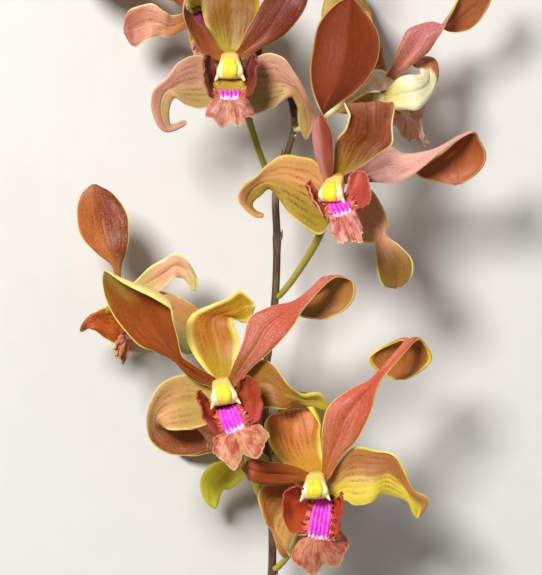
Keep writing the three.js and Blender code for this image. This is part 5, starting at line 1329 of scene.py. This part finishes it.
nectarMake = {
    "drops": [(6.6, 50.6, 24.3, 0.75), (7.4, 45.6, 24.2, 0.6), (6.9, 48.2, 24.4, 0.4)],   # x, y, z, radius
    "colour": "#e8dcb8", "roughness": 0.03, "clear": 0.8,
}


def stemPoint(share):
    return Vector([alongRun(column, share) for column in zip(*rachisRoute)])


def nearestOnStem(point):
    route = [stemPoint(step / 200) for step in range(201)]
    return min(route, key=lambda at: (at - Vector(point)).length)


def addPedicel(bloom, run, material):
    def radius(share):
        swelling = pedicelMake["footSwelling"] * math.exp(-(share / pedicelMake["footShare"]) ** 2)
        return alongRun(run, share) * (1 + swelling)

    route = [nearestOnStem(bloom["stalk"][0]), *bloom["stalk"]]
    return addStem("pedicel", route, radius, sprayPlace, material)


for number, bloom in enumerate(blooms):
    pale = bloom["name"] == "bloom2"
    material = palePedicelMaterial if pale else pedicelMaterial
    stem = addPedicel(bloom, pedicelMake["slimRadii" if pale else "radii"], material)
    disc = addRounded("disc", pedicelMake["disc"], facePlace(bloom), material, segments=24, rings=14)
    joinedPiece(bloom["name"] + "Pedicel", [stem, disc], f"bloom_{number + 1}_pedicel")


def stemRadius(share):
    swelling = sum(rachisMake["nodeSwelling"] * math.exp(-((share - at) / rachisMake["nodeShare"]) ** 2)
                   for at in rachisMake["nodes"])
    return alongRun(rachisMake["radii"], share) + swelling


def stemPlace(share, step=0.01):
    # at a share of the flower stem's length, +Z along it and +Y up
    here = stemPoint(share)
    onward = (stemPoint(share + step) - here).to_track_quat("Z", "Y")
    return sprayPlace @ Matrix.Translation(here) @ onward.to_matrix().to_4x4()


# papery bracts at the nodes, by turns on the left and on the right
bracts = []
for share in rachisMake["nodes"]:
    stations = sided(rachisMake["bract"], -1 if len(bracts) % 2 else 1)
    bracts.append(addRounded("bract", stations, stemPlace(share), bractMaterial, segments=16, rings=12))

nectarMaterial = openMaterial("nectar", nectarMake["roughness"], bumpHeight=0.0, coat=1.0)[0]
nectarShader = nectarMaterial.node_tree.nodes["Principled BSDF"].inputs
nectarShader["Base Color"].default_value = paint(nectarMake["colour"])
nectarShader["Transmission Weight"].default_value = nectarMake["clear"]
drops = []
for x, y, z, radius in nectarMake["drops"]:
    deselect()
    bpy.ops.mesh.primitive_uv_sphere_add(segments=24, ring_count=16, radius=radius * mm,
                                         location=(sprayMiddle + Vector((x, y, z))) * mm)
    drops.append(bpy.context.object)
    drops[-1].data.materials.append(nectarMaterial)
    smoothed(drops[-1])
stem = addStem("flowerStem", rachisRoute, stemRadius, sprayPlace, stemMaterial,
               steps=rachisMake["steps"], sides=rachisMake["sides"])
joinedPiece("flowerStem", [stem, *bracts, *drops], "rachis")
print("stems done")


# floor, lights and camera

stageMake = {
    "floor": 4.0, "pale": "#dcdad4", "paler": "#e2e0da", "grain": 120.0, "aim": (0, 0, 0.02),
    "keyAt": (-0.45, 0.5, 1.0), "keyPower": 17.5, "keySize": 0.4,
    "fillAt": (0.8, -0.3, 0.8), "fillPower": 1.3, "fillSize": 0.8,
    "sky": (1, 0.99, 0.97, 1), "skyStrength": 0.15,
}
deselect()
bpy.ops.mesh.primitive_plane_add(size=stageMake["floor"])
floor = bpy.context.object
floor.name = "paleFloor"
floorMaterial, floorTree, floorColour, floorHeight = openMaterial("paleFloor", roughness=0.9,
                                                                  bumpHeight=0.05)
floorPlace = addNode(floorTree, "ShaderNodeTexCoord").outputs["Object"]
floorGrain = grain(floorTree, floorPlace, stageMake["grain"], 3.0)
floorPaint = mixed(floorTree, floorGrain, paint(stageMake["pale"]), paint(stageMake["paler"]))
floorTree.links.new(floorPaint, floorColour)
floorTree.links.new(floorGrain, floorHeight)
floor.data.materials.append(floorMaterial)


def addSoftLight(name):
    at = Vector(stageMake[name + "At"])
    bpy.ops.object.light_add(type="AREA", location=at)
    light = bpy.context.object
    light.name = name + "Light"
    light.data.energy = stageMake[name + "Power"]
    light.data.shape = "DISK"
    light.data.size = stageMake[name + "Size"]
    light.rotation_euler = (Vector(stageMake["aim"]) - at).to_track_quat("-Z", "Y").to_euler()
    light.visible_camera = False


addSoftLight("key")
addSoftLight("fill")
world = bpy.data.worlds.new("studio")
world.use_nodes = True
sky = world.node_tree.nodes["Background"]
sky.inputs["Color"].default_value = stageMake["sky"]
sky.inputs["Strength"].default_value = stageMake["skyStrength"]
bpy.context.scene.world = world
bpy.context.scene.view_settings.view_transform = "Standard"

# straight down on the spray through a long lens; "tall" is what the long side of the view takes in
cameraMake = {"height": 4.0, "plane": 0.04, "tall": 0.1725, "sensor": 36}
cameraAt = (sprayMiddle.x * mm, sprayMiddle.y * mm, cameraMake["plane"] + cameraMake["height"])
bpy.ops.object.camera_add(location=cameraAt)
camera = bpy.context.object
camera.data.sensor_width = cameraMake["sensor"]
camera.data.lens = cameraMake["sensor"] * cameraMake["height"] / cameraMake["tall"]
bpy.context.scene.camera = camera
print("floor, lights and camera done")
